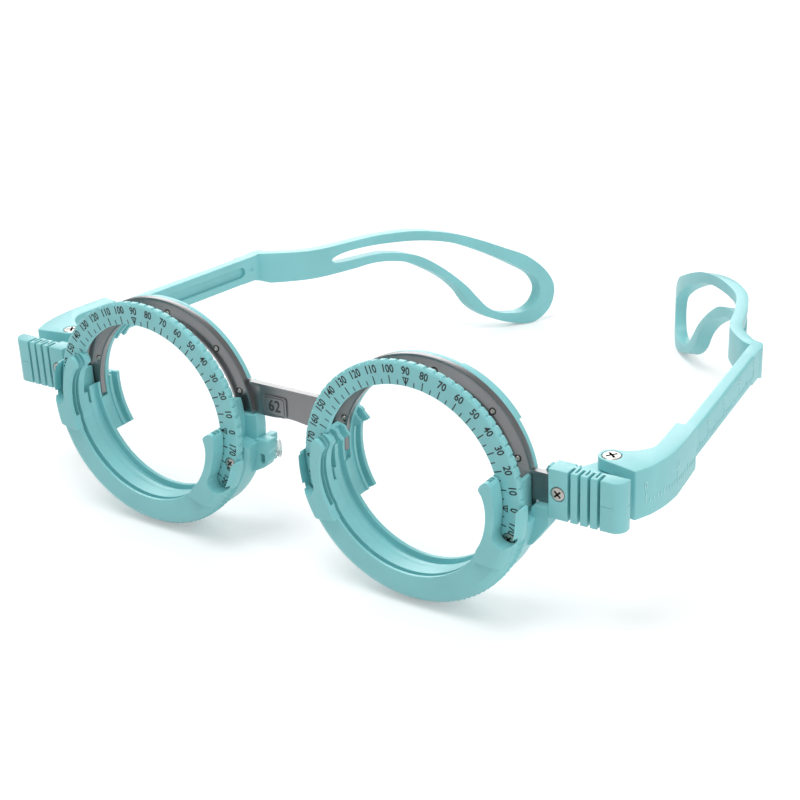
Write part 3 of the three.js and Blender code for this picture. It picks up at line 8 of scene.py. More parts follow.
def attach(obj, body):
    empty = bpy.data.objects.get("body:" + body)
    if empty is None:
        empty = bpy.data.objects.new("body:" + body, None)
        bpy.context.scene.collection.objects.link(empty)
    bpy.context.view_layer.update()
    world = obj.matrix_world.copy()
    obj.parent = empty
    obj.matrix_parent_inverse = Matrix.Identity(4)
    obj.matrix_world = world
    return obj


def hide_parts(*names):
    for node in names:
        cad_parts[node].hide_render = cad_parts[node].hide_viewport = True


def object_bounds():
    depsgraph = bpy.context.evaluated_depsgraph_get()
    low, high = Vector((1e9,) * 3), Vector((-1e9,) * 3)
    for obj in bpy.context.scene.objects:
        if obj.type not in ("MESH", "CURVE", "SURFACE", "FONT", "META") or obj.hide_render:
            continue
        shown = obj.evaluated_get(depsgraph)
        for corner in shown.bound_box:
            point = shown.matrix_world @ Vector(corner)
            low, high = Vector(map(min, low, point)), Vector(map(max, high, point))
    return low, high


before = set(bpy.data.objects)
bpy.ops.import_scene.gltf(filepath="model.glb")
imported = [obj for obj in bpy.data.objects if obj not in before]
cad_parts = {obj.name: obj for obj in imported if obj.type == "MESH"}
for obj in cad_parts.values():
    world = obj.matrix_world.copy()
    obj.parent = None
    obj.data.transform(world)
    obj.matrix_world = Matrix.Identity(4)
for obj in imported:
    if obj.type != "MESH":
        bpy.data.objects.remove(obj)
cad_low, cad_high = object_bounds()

# Optical trial frame. Pieces are drawn in millimetres with their temple at +X, round the centre of the
# eyepiece, the hinge or their own axis, and placed in metres. On the other side all but the round ones are
# mirrored. The bar is drawn whole. Angles are in degrees from +X, counted up over the top of the eyepiece.

MM = 0.001
RING_X = 31.0
PIVOT = (64.1, 14.3)
TOE_IN = {"left": 5.6, "right": 8.3}
CARRIER_TURNED = {"left": 0.0, "right": 15.0}
SCALE_TURNED = {"left": -0.67, "right": 1.87}
SIGN = {"left": 1, "right": -1}
ROW_ORIGIN = Vector((0, 6.5, 5.7))
ROW_FRAME = Matrix.Scale(MM, 4) @ Matrix.Translation(-ROW_ORIGIN)
SMOOTH_ANGLE = math.radians(32)

# Roundings, gaps and steps in many pieces
FINE_ROUND = 0.12
EDGE_ROUND = 0.15
CLEARANCE = 0.15
TURN_STEPS = 300
FULL_TURN = 360

# Lens cells
GROOVE_RADIUS = 19.2
CELL_RADIUS = 18.2
LIP_RADIUS = 17.9
BLANK_RADIUS = 15.0
OUTSIDE = 26
DIAL_HOLE_RADIUS = 18.7
DIAL_RADIUS = 23.1
DIAL_THICK = 1.4
RIM_RADIUS = 23.85
SCREW_ANGLES = {"temple": -17, "nose": 197}
SCREW_CIRCLE = 21.4
PIN_ANGLES = {"left": (18, 46, 85, 163), "right": (162, 134, 95, 17)}
PIN_CIRCLE = 19.45
PIN_HOLE_RADIUS = 0.53

# Layers from front to back, with the dial's front face at y = 0
CLAW_FRONT_Y = -3.3
CARRIER_FRONT_Y = -2.2
PLATE_BACK_Y = -0.2
CATCH_FRONT_Y = 1.55
SKIRT_BACK_Y = 1.8
CARRIER_BACK_Y = 1.9
BODY_FRONT_Y = 2.1
MIDDLE_GROOVE_Y = (3.9, 5.5)
STRAP_FRONT_Y = 6.5
BAR_FRONT_Y = 6.3
SHELL_STEP_Y = 6.4
BAR_WEB_Y = 7.1
BAR_BACK_Y = 7.6
BODY_BACK_Y = 8
REAR_LIP_Y = 8.6
REAR_GROOVE_Y = (9.2, 10.8)
REAR_BACK_Y = 11.6


# Outlines

def polar(radius, degrees):
    angle = math.radians(degrees)
    return Vector((radius * math.cos(angle), radius * math.sin(angle)))


def arc(radius, start, stop, pitch=1.5):
    steps = max(1, round(abs(stop - start) / pitch))
    return [polar(radius, start + (stop - start) * i / steps) for i in range(steps + 1)]


def wedge(radius, start, stop):
    return [Vector((0, 0)), *arc(radius, start, stop)]


def around(centre, radius, start, stop, steps=12):
    turns = [start + (stop - start) * i / steps for i in range(steps + 1)]
    return [Vector(centre) + polar(radius, turn) for turn in turns]


def points(*pairs):
    return [Vector(pair) for pair in pairs]


def soften(outline, radius, steps=3, least_turn=20):
    """Rounds the corners of a closed outline."""
    rounded = []
    for i, here in enumerate(outline):
        to_last = outline[i - 1] - here
        to_next = outline[(i + 1) % len(outline)] - here
        if to_last.length < 1e-6 or to_next.length < 1e-6:
            continue
        if math.pi - to_last.angle(to_next) < math.radians(least_turn):
            rounded.append(here)
            continue
        cut = min(radius, 0.45 * to_last.length, 0.45 * to_next.length)
        start = here + to_last.normalized() * cut
        end = here + to_next.normalized() * cut
        for k in range(steps + 1):
            t = k / steps
            rounded.append(start * (1 - t) ** 2 + here * (2 * t * (1 - t)) + end * t ** 2)
    return rounded


def flowing(through, steps=6, closed=False):
    """A smooth curve through the points."""
    count = len(through)
    last = count if closed else count - 1
    line = []
    for i in range(last):
        near = range(i - 1, i + 3)
        a, b, c, d = (through[k % count if closed else min(max(k, 0), count - 1)] for k in near)
        for k in range(steps):
            t = k / steps
            line.append(0.5 * (2 * b + (c - a) * t + (2 * a - 5 * b + 4 * c - d) * t ** 2
                               + (3 * b - 3 * c + d - a) * t ** 3))
    if not closed:
        line.append(through[-1])
    return line


# Solids

def new_object(name, data):
    piece = bpy.data.objects.new(name, data)
    bpy.context.scene.collection.objects.link(piece)
    return piece


def turning(degrees, axis):
    return Matrix.Rotation(math.radians(degrees), 4, axis)


def shift(piece, *way):
    piece.data.transform(Matrix.Translation(way))


def solid(name, corners, faces):
    mesh = bpy.data.meshes.new(name)
    mesh.from_pydata([tuple(corner) for corner in corners], [], faces)
    shape = bmesh.new()
    shape.from_mesh(mesh)
    bmesh.ops.remove_doubles(shape, verts=shape.verts, dist=1e-5)
    bmesh.ops.recalc_face_normals(shape, faces=shape.faces)
    shape.to_mesh(mesh)
    shape.free()
    return new_object(name, mesh)


def prism(outline, low, high, up="y"):
    """A closed outline carried from low to high: (x, z) along y, (x, y) along z or (y, z) along x."""
    place = "xyz".index(up)
    count = len(outline)
    corners = [(*p[:place], level, *p[place:]) for level in (low, high) for p in outline]
    faces = [[i, (i + 1) % count, count + (i + 1) % count, count + i] for i in range(count)]
    faces += [list(range(count)), list(range(count, 2 * count))]
    return solid("prism", corners, faces)


def spun(profile, steps):
    """The corners of a profile of (radius, y), once for every step round the y axis."""
    corners = []
    for i in range(steps):
        for radius, y in profile:
            x, z = polar(radius, FULL_TURN * i / steps)
            corners.append((x, y, z))
    return corners


def turned(profile, steps=TURN_STEPS):
    """A closed profile turned about the y axis."""
    count = len(profile)
    faces = []
    for i in range(steps):
        after = (i + 1) % steps
        for k in range(count):
            near = (k + 1) % count
            faces.append([i * count + k, i * count + near, after * count + near, after * count + k])
    return solid("turned", spun(profile, steps), faces)


def rectangle(x, z):
    return points((x[0], z[0]), (x[1], z[0]), (x[1], z[1]), (x[0], z[1]))


def block(x, y, z):
    return prism(rectangle(x, z), *y)


def rod(profile, steps=32, at=(0, 0), up="y"):
    """A turned pin standing at a point: profile of (radius, height) with its ends on the axis."""
    middle = profile[1:-1]
    corners = spun(middle, steps)
    count = len(middle)
    low = len(corners)
    corners += [(0, profile[0][1], 0), (0, profile[-1][1], 0)]
    faces = []
    for i in range(steps):
        after = (i + 1) % steps
        for k in range(count - 1):
            faces.append([i * count + k, i * count + k + 1, after * count + k + 1, after * count + k])
        faces.append([low, i * count, after * count])
        faces.append([low + 1, after * count + count - 1, i * count + count - 1])
    piece = solid("rod", corners, faces)
    if up == "z":
        piece.data.transform(turning(90, "X"))
        shift(piece, at[0], at[1], 0)
    else:
        shift(piece, at[0], 0, at[1])
    return piece


def pin(radius, low, high, at=(0, 0), up="y", steps=32):
    return rod([(0, low), (radius, low), (radius, high), (0, high)], steps, at, up)


def shown_mesh(piece):
    return bpy.data.meshes.new_from_object(piece.evaluated_get(bpy.context.evaluated_depsgraph_get()))


def settle(piece):
    """Turns what the modifiers show into the piece's plain mesh."""
    mesh = shown_mesh(piece)
    piece.modifiers.clear()
    piece.data = mesh
    return piece


def combine(piece, others, operation):
    for other in others:
        change = piece.modifiers.new("combine", "BOOLEAN")
        change.operation = operation
        change.object = other
        change.solver = "MANIFOLD"
        settle(piece)
        bpy.data.objects.remove(other)
    return piece


def cut(piece, *others):
    return combine(piece, others, "DIFFERENCE")


def join(piece, *others):
    return combine(piece, others, "UNION")


def keep(piece, *others):
    return combine(piece, others, "INTERSECT")


def ease(piece, width, segments=2, angle=40):
    """Takes the sharpness off the edges."""
    change = piece.modifiers.new("ease", "BEVEL")
    change.width = width
    change.segments = segments
    change.limit_method = "ANGLE"
    change.angle_limit = math.radians(angle)
    change.use_clamp_overlap = True
    return settle(piece)


# Repeats

def set_inputs(node, **values):
    """Sets a node's inputs by their names, with an underscore for each space."""
    for name, value in values.items():
        node.inputs[name.replace("_", " ")].default_value = value
    return node


def repeat_tree():
    """A tree that sets copies of a template round the y axis, each turned a step further."""
    tree = bpy.data.node_groups.new("copies_round_the_axis", "GeometryNodeTree")
    kinds = {"Template": "Geometry", "Count": "Int", "First turn": "Float", "Turn step": "Float"}
    for name, kind in kinds.items():
        tree.interface.new_socket(name, in_out="INPUT", socket_type="NodeSocket" + kind)
    tree.interface.new_socket("Copies", in_out="OUTPUT", socket_type="NodeSocketGeometry")
    node = tree.nodes.new
    link = tree.links.new
    given = node("NodeGroupInput")
    line = set_inputs(node("GeometryNodeMeshLine"), Offset=(0, 0, 0))
    link(given.outputs["Count"], line.inputs["Count"])
    index = node("GeometryNodeInputIndex")
    turn = node("ShaderNodeMath")
    turn.operation = "MULTIPLY_ADD"
    link(index.outputs[0], turn.inputs[0])
    link(given.outputs["Turn step"], turn.inputs[1])
    link(given.outputs["First turn"], turn.inputs[2])
    about = node("ShaderNodeCombineXYZ")
    link(turn.outputs[0], about.inputs["Y"])
    spread = node("GeometryNodeInstanceOnPoints")
    link(line.outputs["Mesh"], spread.inputs["Points"])
    link(given.outputs["Template"], spread.inputs["Instance"])
    link(about.outputs[0], spread.inputs["Rotation"])
    real = node("GeometryNodeRealizeInstances")
    link(spread.outputs["Instances"], real.inputs[0])
    link(real.outputs[0], node("NodeGroupOutput").inputs["Copies"])
    return tree


REPEAT = repeat_tree()


def copies(template, count, step, first=0.0):
    """Copies round the y axis. Blender turns the other way about y than angles are counted here."""
    change = template.modifiers.new("copies", "NODES")
    change.node_group = REPEAT
    sockets = {s.name: s.identifier for s in REPEAT.interface.items_tree if s.in_out == "INPUT"}
    change[sockets["Count"]] = count
    change[sockets["First turn"]] = -math.radians(first)
    change[sockets["Turn step"]] = -math.radians(step)
    template.update_tag()
    return settle(template)


# Finishes

def finish_material(name, color, roughness, metallic=0.0, grain=900.0, shade=0.05, bump=0.02, edge=0.1):
    """Cloudy colour, uneven gloss, fine grain in waves to the metre, and bump and soft edges in mm."""
    material = bpy.data.materials.new(name)
    material.use_nodes = True
    node = material.node_tree.nodes.new
    link = material.node_tree.links.new
    shader = set_inputs(material.node_tree.nodes["Principled BSDF"], Metallic=metallic)
    place = node("ShaderNodeTexCoord")
    cloud = set_inputs(node("ShaderNodeTexNoise"), Scale=90, Detail=3)
    link(place.outputs["Object"], cloud.inputs["Vector"])
    tint = node("ShaderNodeValToRGB")
    low, high = tint.color_ramp.elements
    low.position, high.position = 0.3, 0.7
    low.color = (*[channel * (1 - shade) for channel in color], 1)
    high.color = (*[min(1.0, channel * (1 + shade)) for channel in color], 1)
    link(cloud.outputs["Fac"], tint.inputs["Fac"])
    link(tint.outputs["Color"], shader.inputs["Base Color"])
    fine = set_inputs(node("ShaderNodeTexNoise"), Scale=grain, Detail=4)
    link(place.outputs["Object"], fine.inputs["Vector"])
    gloss = set_inputs(node("ShaderNodeMapRange"), To_Min=roughness * 0.85, To_Max=min(1.0, roughness * 1.2))
    link(fine.outputs["Fac"], gloss.inputs["Value"])
    link(gloss.outputs["Result"], shader.inputs["Roughness"])
    relief = set_inputs(node("ShaderNodeBump"), Strength=0.35, Distance=bump * MM)
    link(fine.outputs["Fac"], relief.inputs["Height"])
    soft = set_inputs(node("ShaderNodeBevel"), Radius=edge * MM)
    soft.samples = 4
    link(soft.outputs["Normal"], relief.inputs["Normal"])
    link(relief.outputs["Normal"], shader.inputs["Normal"])
    return material


CYAN = finish_material("cyan_moulding", (0.27, 0.655, 0.68), 0.38)
set_inputs(CYAN.node_tree.nodes["Principled BSDF"], Subsurface_Weight=0.15, Subsurface_Radius=(0.5, 1.0, 1.0),
           Subsurface_Scale=0.8 * MM)
# Painted highlight: the scales' ticks and numerals wear a lighter cyan for the light catching their raised
# edges.
SCALE_HIGHLIGHT = finish_material("scale_highlight_cyan", (0.5, 0.83, 0.85), 0.4)
GREY = finish_material("grey_bar_metal", (0.24, 0.24, 0.245), 0.33, 0.85, 1500, 0.08, 0.03, 0.1)
# Painted shade: the bar's number is a near-black metal standing in for the shade on its stamped digits.
SHADE_PAINTED_GREY = finish_material("shaded_bar_metal", (0.05, 0.055, 0.058), 0.4, 0.6, 1500, 0.08, 0.02, 0.05)
STEEL = finish_material("bright_screw_steel", (0.46, 0.44, 0.41), 0.3, 1.0, 1200, 0.04, 0.01, 0.05)
# Painted shade: near-black steel on the faces inside the screws' cross recesses and on a thin ring round each
# bar pin's head, where shade falls.
PAINTED_SHADE_STEEL = finish_material("painted_shade_steel", (0.05, 0.045, 0.04), 0.5, 0.7, 1200, 0.1, 0.01, 0.02)
CLEAR = finish_material("clear_silicone", (0.86, 0.95, 0.94), 0.28, 0.0, 500, 0.02, 0.02, 0.15)
set_inputs(CLEAR.node_tree.nodes["Principled BSDF"], Transmission_Weight=0.75, IOR=1.41)
INK = finish_material("black_print", (0.012, 0.02, 0.022), 0.55, 0.0, 2500, 0.2, 0.004, 0.0)


# Places

def side_place(side, x, y=0):
    """Where a side's mirrored pieces stand, their own +X away from the nose."""
    return ROW_FRAME @ Matrix.Translation((SIGN[side] * x, y, 0)) @ Matrix.Diagonal((SIGN[side], 1, 1, 1))


def placed(template, name, place, finish, body, slot=None, *nodes):
    """A copy of the template in its place, riding on its body and standing for its nodes."""
    mesh = template.data.copy()
    mesh.name = name
    mesh.transform(place)
    if place.determinant() < 0:
        mesh.flip_normals()
    worn = [face.material_index for face in mesh.polygons]
    mesh.materials.clear()
    for each in finish if isinstance(finish, tuple) else (finish,):
        mesh.materials.append(each)
    mesh.polygons.foreach_set("material_index", worn)
    mesh.shade_smooth()
    mesh.set_sharp_from_angle(angle=SMOOTH_ANGLE)
    piece = new_object(name, mesh)
    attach(piece, body)
    if nodes:
        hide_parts(*nodes)
    return piece


# Screws and pins

def cross_screw(head, head_deep, shank, length):
    """Countersunk screw with a slightly domed head and a tapered cross recess, its head at y = 0."""
    profile = [(0, -0.06 * head), (0.55 * head, -0.04 * head), (0.9 * head, 0), (head, 0.08 * head),
               (shank, head_deep), (shank, length - shank), (0.4 * shank, length), (0, length)]
    body = rod(profile, SCREW_STEPS)
    wide, narrow, deep = 0.66 * head, 0.36 * head, 0.9 * head_deep
    for angle in (45, 135):
        arm = [(a * reach, y, b * half)
               for reach, half, y in ((wide, 0.14 * head, -0.1 * head), (narrow, 0.1 * head, deep))
               for a, b in ((-1, -1), (1, -1), (1, 1), (-1, 1))]
        faces = [[0, 1, 2, 3], [4, 5, 6, 7], [0, 1, 5, 4], [1, 2, 6, 5], [2, 3, 7, 6], [3, 0, 4, 7]]
        recess = solid("recess", arm, faces)
        recess.data.transform(turning(angle, "Y"))
        cut(body, recess)
    slack = 0.01

    def in_recess(centre, out):
        return slack * head < centre.y <= deep + slack and out < (1 + 2 * slack) * wide

    # The faces inside the cross recess get painted shade.
    return darkened(body, in_recess)


def darkened(piece, chosen):
    """Paints shade, as the second finish, on the faces chosen by centre and distance from the piece's axis.
    """
    piece.data.materials.clear()
    piece.data.materials.append(STEEL)
    piece.data.materials.append(PAINTED_SHADE_STEEL)
    for face in piece.data.polygons:
        centre = face.center
        face.material_index = 1 if chosen(centre, math.hypot(centre.x, centre.z)) else 0
    return piece


def screw_hole(at, y, head, head_deep, shank, length):
    """The hole for a screw whose head is at y."""
    gap = CLEARANCE
    front, sunk, end = y - 2, y + 0.1, y + length + gap
    profile = [(0, front), (head + gap, front), (head + gap, sunk), (shank + gap, y + head_deep + gap),
               (shank + gap, end), (0, end)]
    return rod(profile, SCREW_STEPS, at)


SCREW_STEPS = 40
# Each screw by its head's radius and depth, its shank's radius and its length
DIAL_SCREW = (1.15, 0.6, 0.65, 4.4)
BLOCK_SCREW = (1.3, 0.7, 0.7, 4.9)
HINGE_SCREW = (1.75, 0.9, 0.8, 9.25)


# Dial with its scale

def dial_shape():
    """A ring with scallops all round, a stop at the top for the carrier, and the countersunk holes."""
    chamfer = 0.45
    scallop_deep, scallop_half, mouth_deep, mouth_half, over = 0.38, 0.62, 0.1, 0.3, 0.4
    profile = points((DIAL_HOLE_RADIUS, 0), (DIAL_RADIUS - chamfer, 0), (DIAL_RADIUS, 0.4),
                     (DIAL_RADIUS, DIAL_THICK), (DIAL_HOLE_RADIUS, DIAL_THICK))
    dial = turned(soften(profile, FINE_ROUND, 2), FULL_TURN)
    notch = points((DIAL_RADIUS - scallop_deep, 0), (DIAL_RADIUS - mouth_deep, mouth_half),
                   (DIAL_RADIUS + over, scallop_half), (DIAL_RADIUS + over, -scallop_half),
                   (DIAL_RADIUS - mouth_deep, -mouth_half))
    cut(dial, copies(prism(soften(notch, 0.2, 4), -1, 2), 72, 5.0))
    half, stop_radius, stop_y = 13.5, 19.35, (0.7, CARRIER_BACK_Y)
    outline = [*arc(stop_radius, 90 - half, 90 + half), *arc(DIAL_HOLE_RADIUS, 90 + half, 90 - half)]
    join(dial, prism(outline, *stop_y))
    for angle in SCREW_ANGLES.values():
        cut(dial, screw_hole(polar(SCREW_CIRCLE, angle), 0, *DIAL_SCREW))
    return dial


NUMERAL_SHARE = 0.73  # height of the font's numerals over its size


def number_shape(text, high, thick, bold, wide_share=0.85):
    """Numerals standing in the x-z plane, centred, their face towards -y."""
    letters = bpy.data.curves.new("numerals", "FONT")
    letters.body = text
    letters.size = high / NUMERAL_SHARE
    letters.extrude = thick / 2
    letters.align_x = "CENTER"
    letters.align_y = "CENTER"
    letters.resolution_u = 3
    letters.offset = bold * high
    holder = new_object("numerals", letters)
    mesh = shown_mesh(holder)
    bpy.data.objects.remove(holder)
    mesh.transform(turning(90, "X") @ Matrix.Diagonal((wide_share, 1, 1, 1)))
    shape = bmesh.new()
    shape.from_mesh(mesh)
    bmesh.ops.remove_doubles(shape, verts=shape.verts, dist=1e-4)
    shape.to_mesh(mesh)
    shape.free()
    return new_object("numerals", mesh)


def gathered(pieces):
    """One object from several loose shapes."""
    shape = bmesh.new()
    for piece in pieces:
        shape.from_mesh(piece.data)
        bpy.data.objects.remove(piece)
    mesh = bpy.data.meshes.new("gathered")
    shape.to_mesh(mesh)
    shape.free()
    return new_object("gathered", mesh)


def scale_shape(offset):
    """Degree numbers every ten degrees, long and short ticks, and the four pointers, as print on the dial."""
    face, back = -0.02, 0.01
    start, short_end, long_end = 18.85, 19.75, 20.4
    number_radius, number_high, number_wide_share, bold = 21.6, 1.55, 0.82, 0.026
    long_tick = block((start, long_end), (face, back), (-0.1, 0.1))
    short_tick = block((start, short_end), (face, back), (-0.09, 0.09))
    marks = [copies(long_tick, 36, 10.0, offset), copies(short_tick, 36, 10.0, offset + 5)]
    for angle in range(0, FULL_TURN, 10):
        number = number_shape(str(angle % 180), number_high, back - face, bold, number_wide_share)
        shift(number, 0, (face + back) / 2, number_radius)
        number.data.transform(turning(90 - angle - offset, "Y"))
        marks.append(number)
    half, inner_half, tip_line, top_line = 0.72, 0.44, 0.42, 0.17
    outer = points((start, 0), (long_end, half), (long_end, -half))
    inner_end = long_end - top_line
    inner = points((start + tip_line, 0), (inner_end, inner_half), (inner_end, -inner_half))
    faces = [[a + i, a + (i + 1) % 3, b + (i + 1) % 3, b + i]
             for a, b in ((0, 3), (6, 9), (0, 6), (3, 9)) for i in range(3)]
    corners = [(p.x, y, p.y) for line in (outer, inner) for y in (face, back) for p in line]
    marks.append(copies(solid("pointer", corners, faces), 4, 90.0, offset))
    middle = block((start + 0.1, 19.9), (face - 0.002, back), (-0.07, 0.07))
    marks.append(copies(middle, 4, 90.0, offset))
    return gathered(marks)


# Carrier: its claws stand a little in front of the lower ring, as far down as the seam on each side.
# The lines are pairs of radius and angle.

SEAM_LINE = ((17.0, -35.5), (18.4, -35), (20, -32.5), (22.2, -29.3), (OUTSIDE, -28))
CLAW_BARB_TOP = ((19.5, 14.5), (19.2, 16.6), (18.7, 17.4), (18.2, 17.2))
CLAW_BARB = ((17.6, 16.2), (17.2, 15.1), (16.95, 13.9), (16.9, 13.0))
CLAW_WAIST = ((16.98, 12.0), (17.35, 8.4), (17.65, 2.5), (17.8, -4.5), (17.85, -12), (17.85, -20),
              (17.7, -27))


def mirrored(outline):
    return [Vector((-p.x, p.y)) for p in reversed(outline)]


def polar_line(pairs):
    return [polar(radius, angle) for radius, angle in pairs]


def claw_outline(rim):
    """Half of the carrier from the front: rim, outer prong, reading window, barb and waist of the claw."""
    bottom, prong_radius, prong_wall = -90, 0.4, 0.85
    window_angle, window_radius, window_inner = -12.6, 1.95, 19.5
    window = polar(21.45, window_angle)
    return [*arc(rim, bottom, 0),
            *around(polar(rim - prong_radius, 1.2), prong_radius, -10, 170, 8),
            *arc(rim - prong_wall, 0, -12.5),
            *around(window, window_radius, window_angle + 6, window_angle - 186, 20),
            *arc(window_inner, -12.5, 13),
            *flowing(polar_line(CLAW_BARB_TOP), 5),
            *flowing(polar_line(CLAW_BARB), 4),
            *flowing(polar_line(CLAW_WAIST), 5),
            *arc(LIP_RADIUS, -30, bottom)]


def carrier_shape():
    rim, skirt, hub, catch = RIM_RADIUS, 23.35, 18.45, 19.35
    groove_front, groove_back = -1.6, -0.6
    profile = points(
        (BLANK_RADIUS, CARRIER_FRONT_Y), (21.85, CARRIER_FRONT_Y), (22.9, -1.6), (23.4, -1.0), (rim, -0.3),
        (rim, SKIRT_BACK_Y), (skirt, SKIRT_BACK_Y), (skirt, PLATE_BACK_Y), (hub, PLATE_BACK_Y),
        (hub, CATCH_FRONT_Y), (catch, CATCH_FRONT_Y), (catch, CARRIER_BACK_Y), (BLANK_RADIUS, CARRIER_BACK_Y),
        (BLANK_RADIUS, groove_back), (GROOVE_RADIUS, groove_back), (GROOVE_RADIUS, groove_front),
        (BLANK_RADIUS, groove_front))
    carrier = turned(soften(profile, 0.16, 3, 12))
    raised = points((BLANK_RADIUS, CLAW_FRONT_Y), (21.7, CLAW_FRONT_Y), (22.5, -2.7), (23.1, -1.9),
                    (23.1, -1.4), (BLANK_RADIUS, -1.4))
    seam = polar_line(SEAM_LINE)
    claw_zone = [Vector((0, 0)), *seam, polar(30, 20), polar(30, 160), *mirrored(seam)]
    plates = keep(turned(soften(raised, 0.16, 3, 12)), prism(claw_zone, -5, 0))
    join(carrier, ease(plates, FINE_ROUND, 2, 60))
    widened = rectangle((14, GROOVE_RADIUS), (-2.4, -1.5))
    cut(carrier, keep(turned(widened), prism(wedge(OUTSIDE, -26, 206), -5, 0)))
    claw = claw_outline(rim)
    keep(carrier, prism([*claw, *mirrored(claw[1:-1])], -4, 4))
    cut(carrier, prism(wedge(OUTSIDE, -14.5, 194.5), 1.0, 4))
    tooth_gap = [(0, -1.4), (0.3, -1.35), (0.54, -1.1), (0.62, -0.7), (0.62, 2.4), (0, 2.4)]
    cut(carrier, copies(rod(tooth_gap, 12, (rim + FINE_ROUND, 0)), 51, 3.0, 195))
    return ease(carrier, 0.08, 1, 50)


# Body: lower half shell, claws of the middle and the rear cell, bracket and post of the nose pad

SHELL_RADIUS = 23.5
REAR_CELL_LOW = -31.5
BRACKET_REACH, BRACKET_TOP, BRACKET_DEEP = 26.1, -2.7, 8.5
BRACKET = ((0.861, 0), (0.985, 0), (1, 0.06), (1, 0.22), (0.98, 0.3), (0.98, 0.5), (0.945, 0.68), (0.75, 1),
           (0.79, 0.7), (0.857, 0.3))
BRACKET_HOLE = ((0.95, 0.36), (0.908, 0.34), (0.905, 0.56), (0.925, 0.62), (0.948, 0.54))
PAD_POST = (-23.1, 10.6)


def shell_shape():
    chamfer, front, back, step = 0.6, BODY_FRONT_Y, BODY_BACK_Y, SHELL_STEP_Y
    groove_front, groove_back = MIDDLE_GROOVE_Y
    profile = points((CELL_RADIUS, front), (SHELL_RADIUS - chamfer, front), (SHELL_RADIUS, front + chamfer),
                     (SHELL_RADIUS, back - chamfer), (SHELL_RADIUS - chamfer, back), (CELL_RADIUS, back),
                     (CELL_RADIUS, step), (LIP_RADIUS, step), (LIP_RADIUS, groove_back),
                     (GROOVE_RADIUS, groove_back), (GROOVE_RADIUS, groove_front), (CELL_RADIUS, groove_front))
    shell = turned(soften(profile, EDGE_ROUND, 2, 12))
    keep(shell, prism(wedge(OUTSIDE, -172, -8), 0, 14))
    return cut(shell, prism(wedge(20, -180 - REAR_CELL_LOW, REAR_CELL_LOW), step, 9))


def nose_claw(outer, inner, barb, top, root):
    """A nasal claw from the front: along its outer side, round its tip, then barb and waist."""
    catch = [polar(CELL_RADIUS - 0.25, top + 1.4), polar(barb + 0.3, top + 3.2), polar(barb, top + 4),
             polar(barb + 0.12, top + 5), polar(inner, top + 8.5)]
    return [*arc(outer, root, top), polar(CELL_RADIUS + 0.4, top - 0.4), polar(CELL_RADIUS - 0.1, top + 0.2),
            *flowing(catch, 4), *arc(inner, top + 10, root)]


def claw_ring(blank, rim, groove, outlines, reach):
    """Claws cut by their outlines from a ring with a lens groove and these outer corners."""
    groove_front, groove_back = groove
    profile = points((blank, rim[0][1]), *rim, (blank, rim[-1][1]), (blank, groove_back),
                     (GROOVE_RADIUS, groove_back), (GROOVE_RADIUS, groove_front), (blank, groove_front))
    return keep(turned(soften(profile, FINE_ROUND, 2)), gathered([prism(line, *reach) for line in outlines]))


def middle_claws():
    outer, inner = 21, CELL_RADIUS
    nose = nose_claw(outer, inner, 16.9, 165, 192)
    temple = [*arc(outer, -12, -1), *arc(inner, 3, -12)]
    return claw_ring(15.5, ((20.2, 2.9), (20.2, 6.1)), MIDDLE_GROOVE_Y, (nose, temple), (1, 8))


def rear_claws():
    outer, inner = 22, 17.8
    nose = nose_claw(outer, inner, 16.5, 160, 180 - REAR_CELL_LOW)
    temple = [*arc(outer, REAR_CELL_LOW, 3), *arc(inner, 4.5, REAR_CELL_LOW)]
    top = [*arc(outer, 35, 75), *arc(inner, 75, 35)]
    rim = ((20.8, REAR_LIP_Y), (20.8, 11.2), (20.4, REAR_BACK_Y))
    return claw_ring(15.2, rim, REAR_GROOVE_Y, (nose, temple, top), (5, 14))


def bracket_line(shares):
    return [Vector((-BRACKET_REACH * out, BRACKET_TOP - BRACKET_DEEP * down)) for out, down in shares]


def body_shape(side):
    body = shell_shape()
    ledge = turned(soften(rectangle((CELL_RADIUS, 22), (7.75, 8.9)), EDGE_ROUND, 2))
    join(body, keep(ledge, prism(wedge(OUTSIDE, REAR_CELL_LOW, 180 - REAR_CELL_LOW), 7, 9)))
    join(body, middle_claws(), rear_claws())
    nose_wall = prism([*arc(23.1, 174.6, 192), *arc(19, 192, 174.6)], 5.9, 8.7)
    temple_wall = block((20.6, 21.4), (2.7, 6.9), (-4, 3.8))
    join(body, ease(nose_wall, FINE_ROUND, 2), ease(temple_wall, FINE_ROUND, 2))
    shoulder = points((22.6, -1.15), (25.8, -1.15), (25.8, -4.5), (22.6, -8.95), (20.5, -9.5), (22.1, -4.0))
    join(body, prism(soften(shoulder, 0.3), 4.6, 7.5))
    join(body, ease(prism(soften(bracket_line(BRACKET), 0.4, 4), 5.5, BODY_BACK_Y), EDGE_ROUND, 2))
    cut(body, prism(soften(bracket_line(BRACKET_HOLE), 0.35, 4), 4, 9))
    post_arm = block((-23.9, -22.3), (7.4, 11.1), (-4.8, -3.2))
    post = rod([(0, -9), (0.35, -9), (0.5, -8.8), (0.5, -4), (0, -4)], 24, PAD_POST, "z")
    join(body, ease(post_arm, 0.2), post)
    boss_radius, hole_radius = 1.6, 0.8
    for angle in SCREW_ANGLES.values():
        at = polar(SCREW_CIRCLE, angle)
        join(body, pin(boss_radius, CATCH_FRONT_Y, 2.7, at))
        cut(body, pin(hole_radius, 0.5, 4.7, at))
    for angle in PIN_ANGLES[side]:
        cut(body, pin(PIN_HOLE_RADIUS, 6.75, 8.75, polar(PIN_CIRCLE, angle)))
    return body


# Bar: two arcs of channel section, each with an end tab, and the strap between them

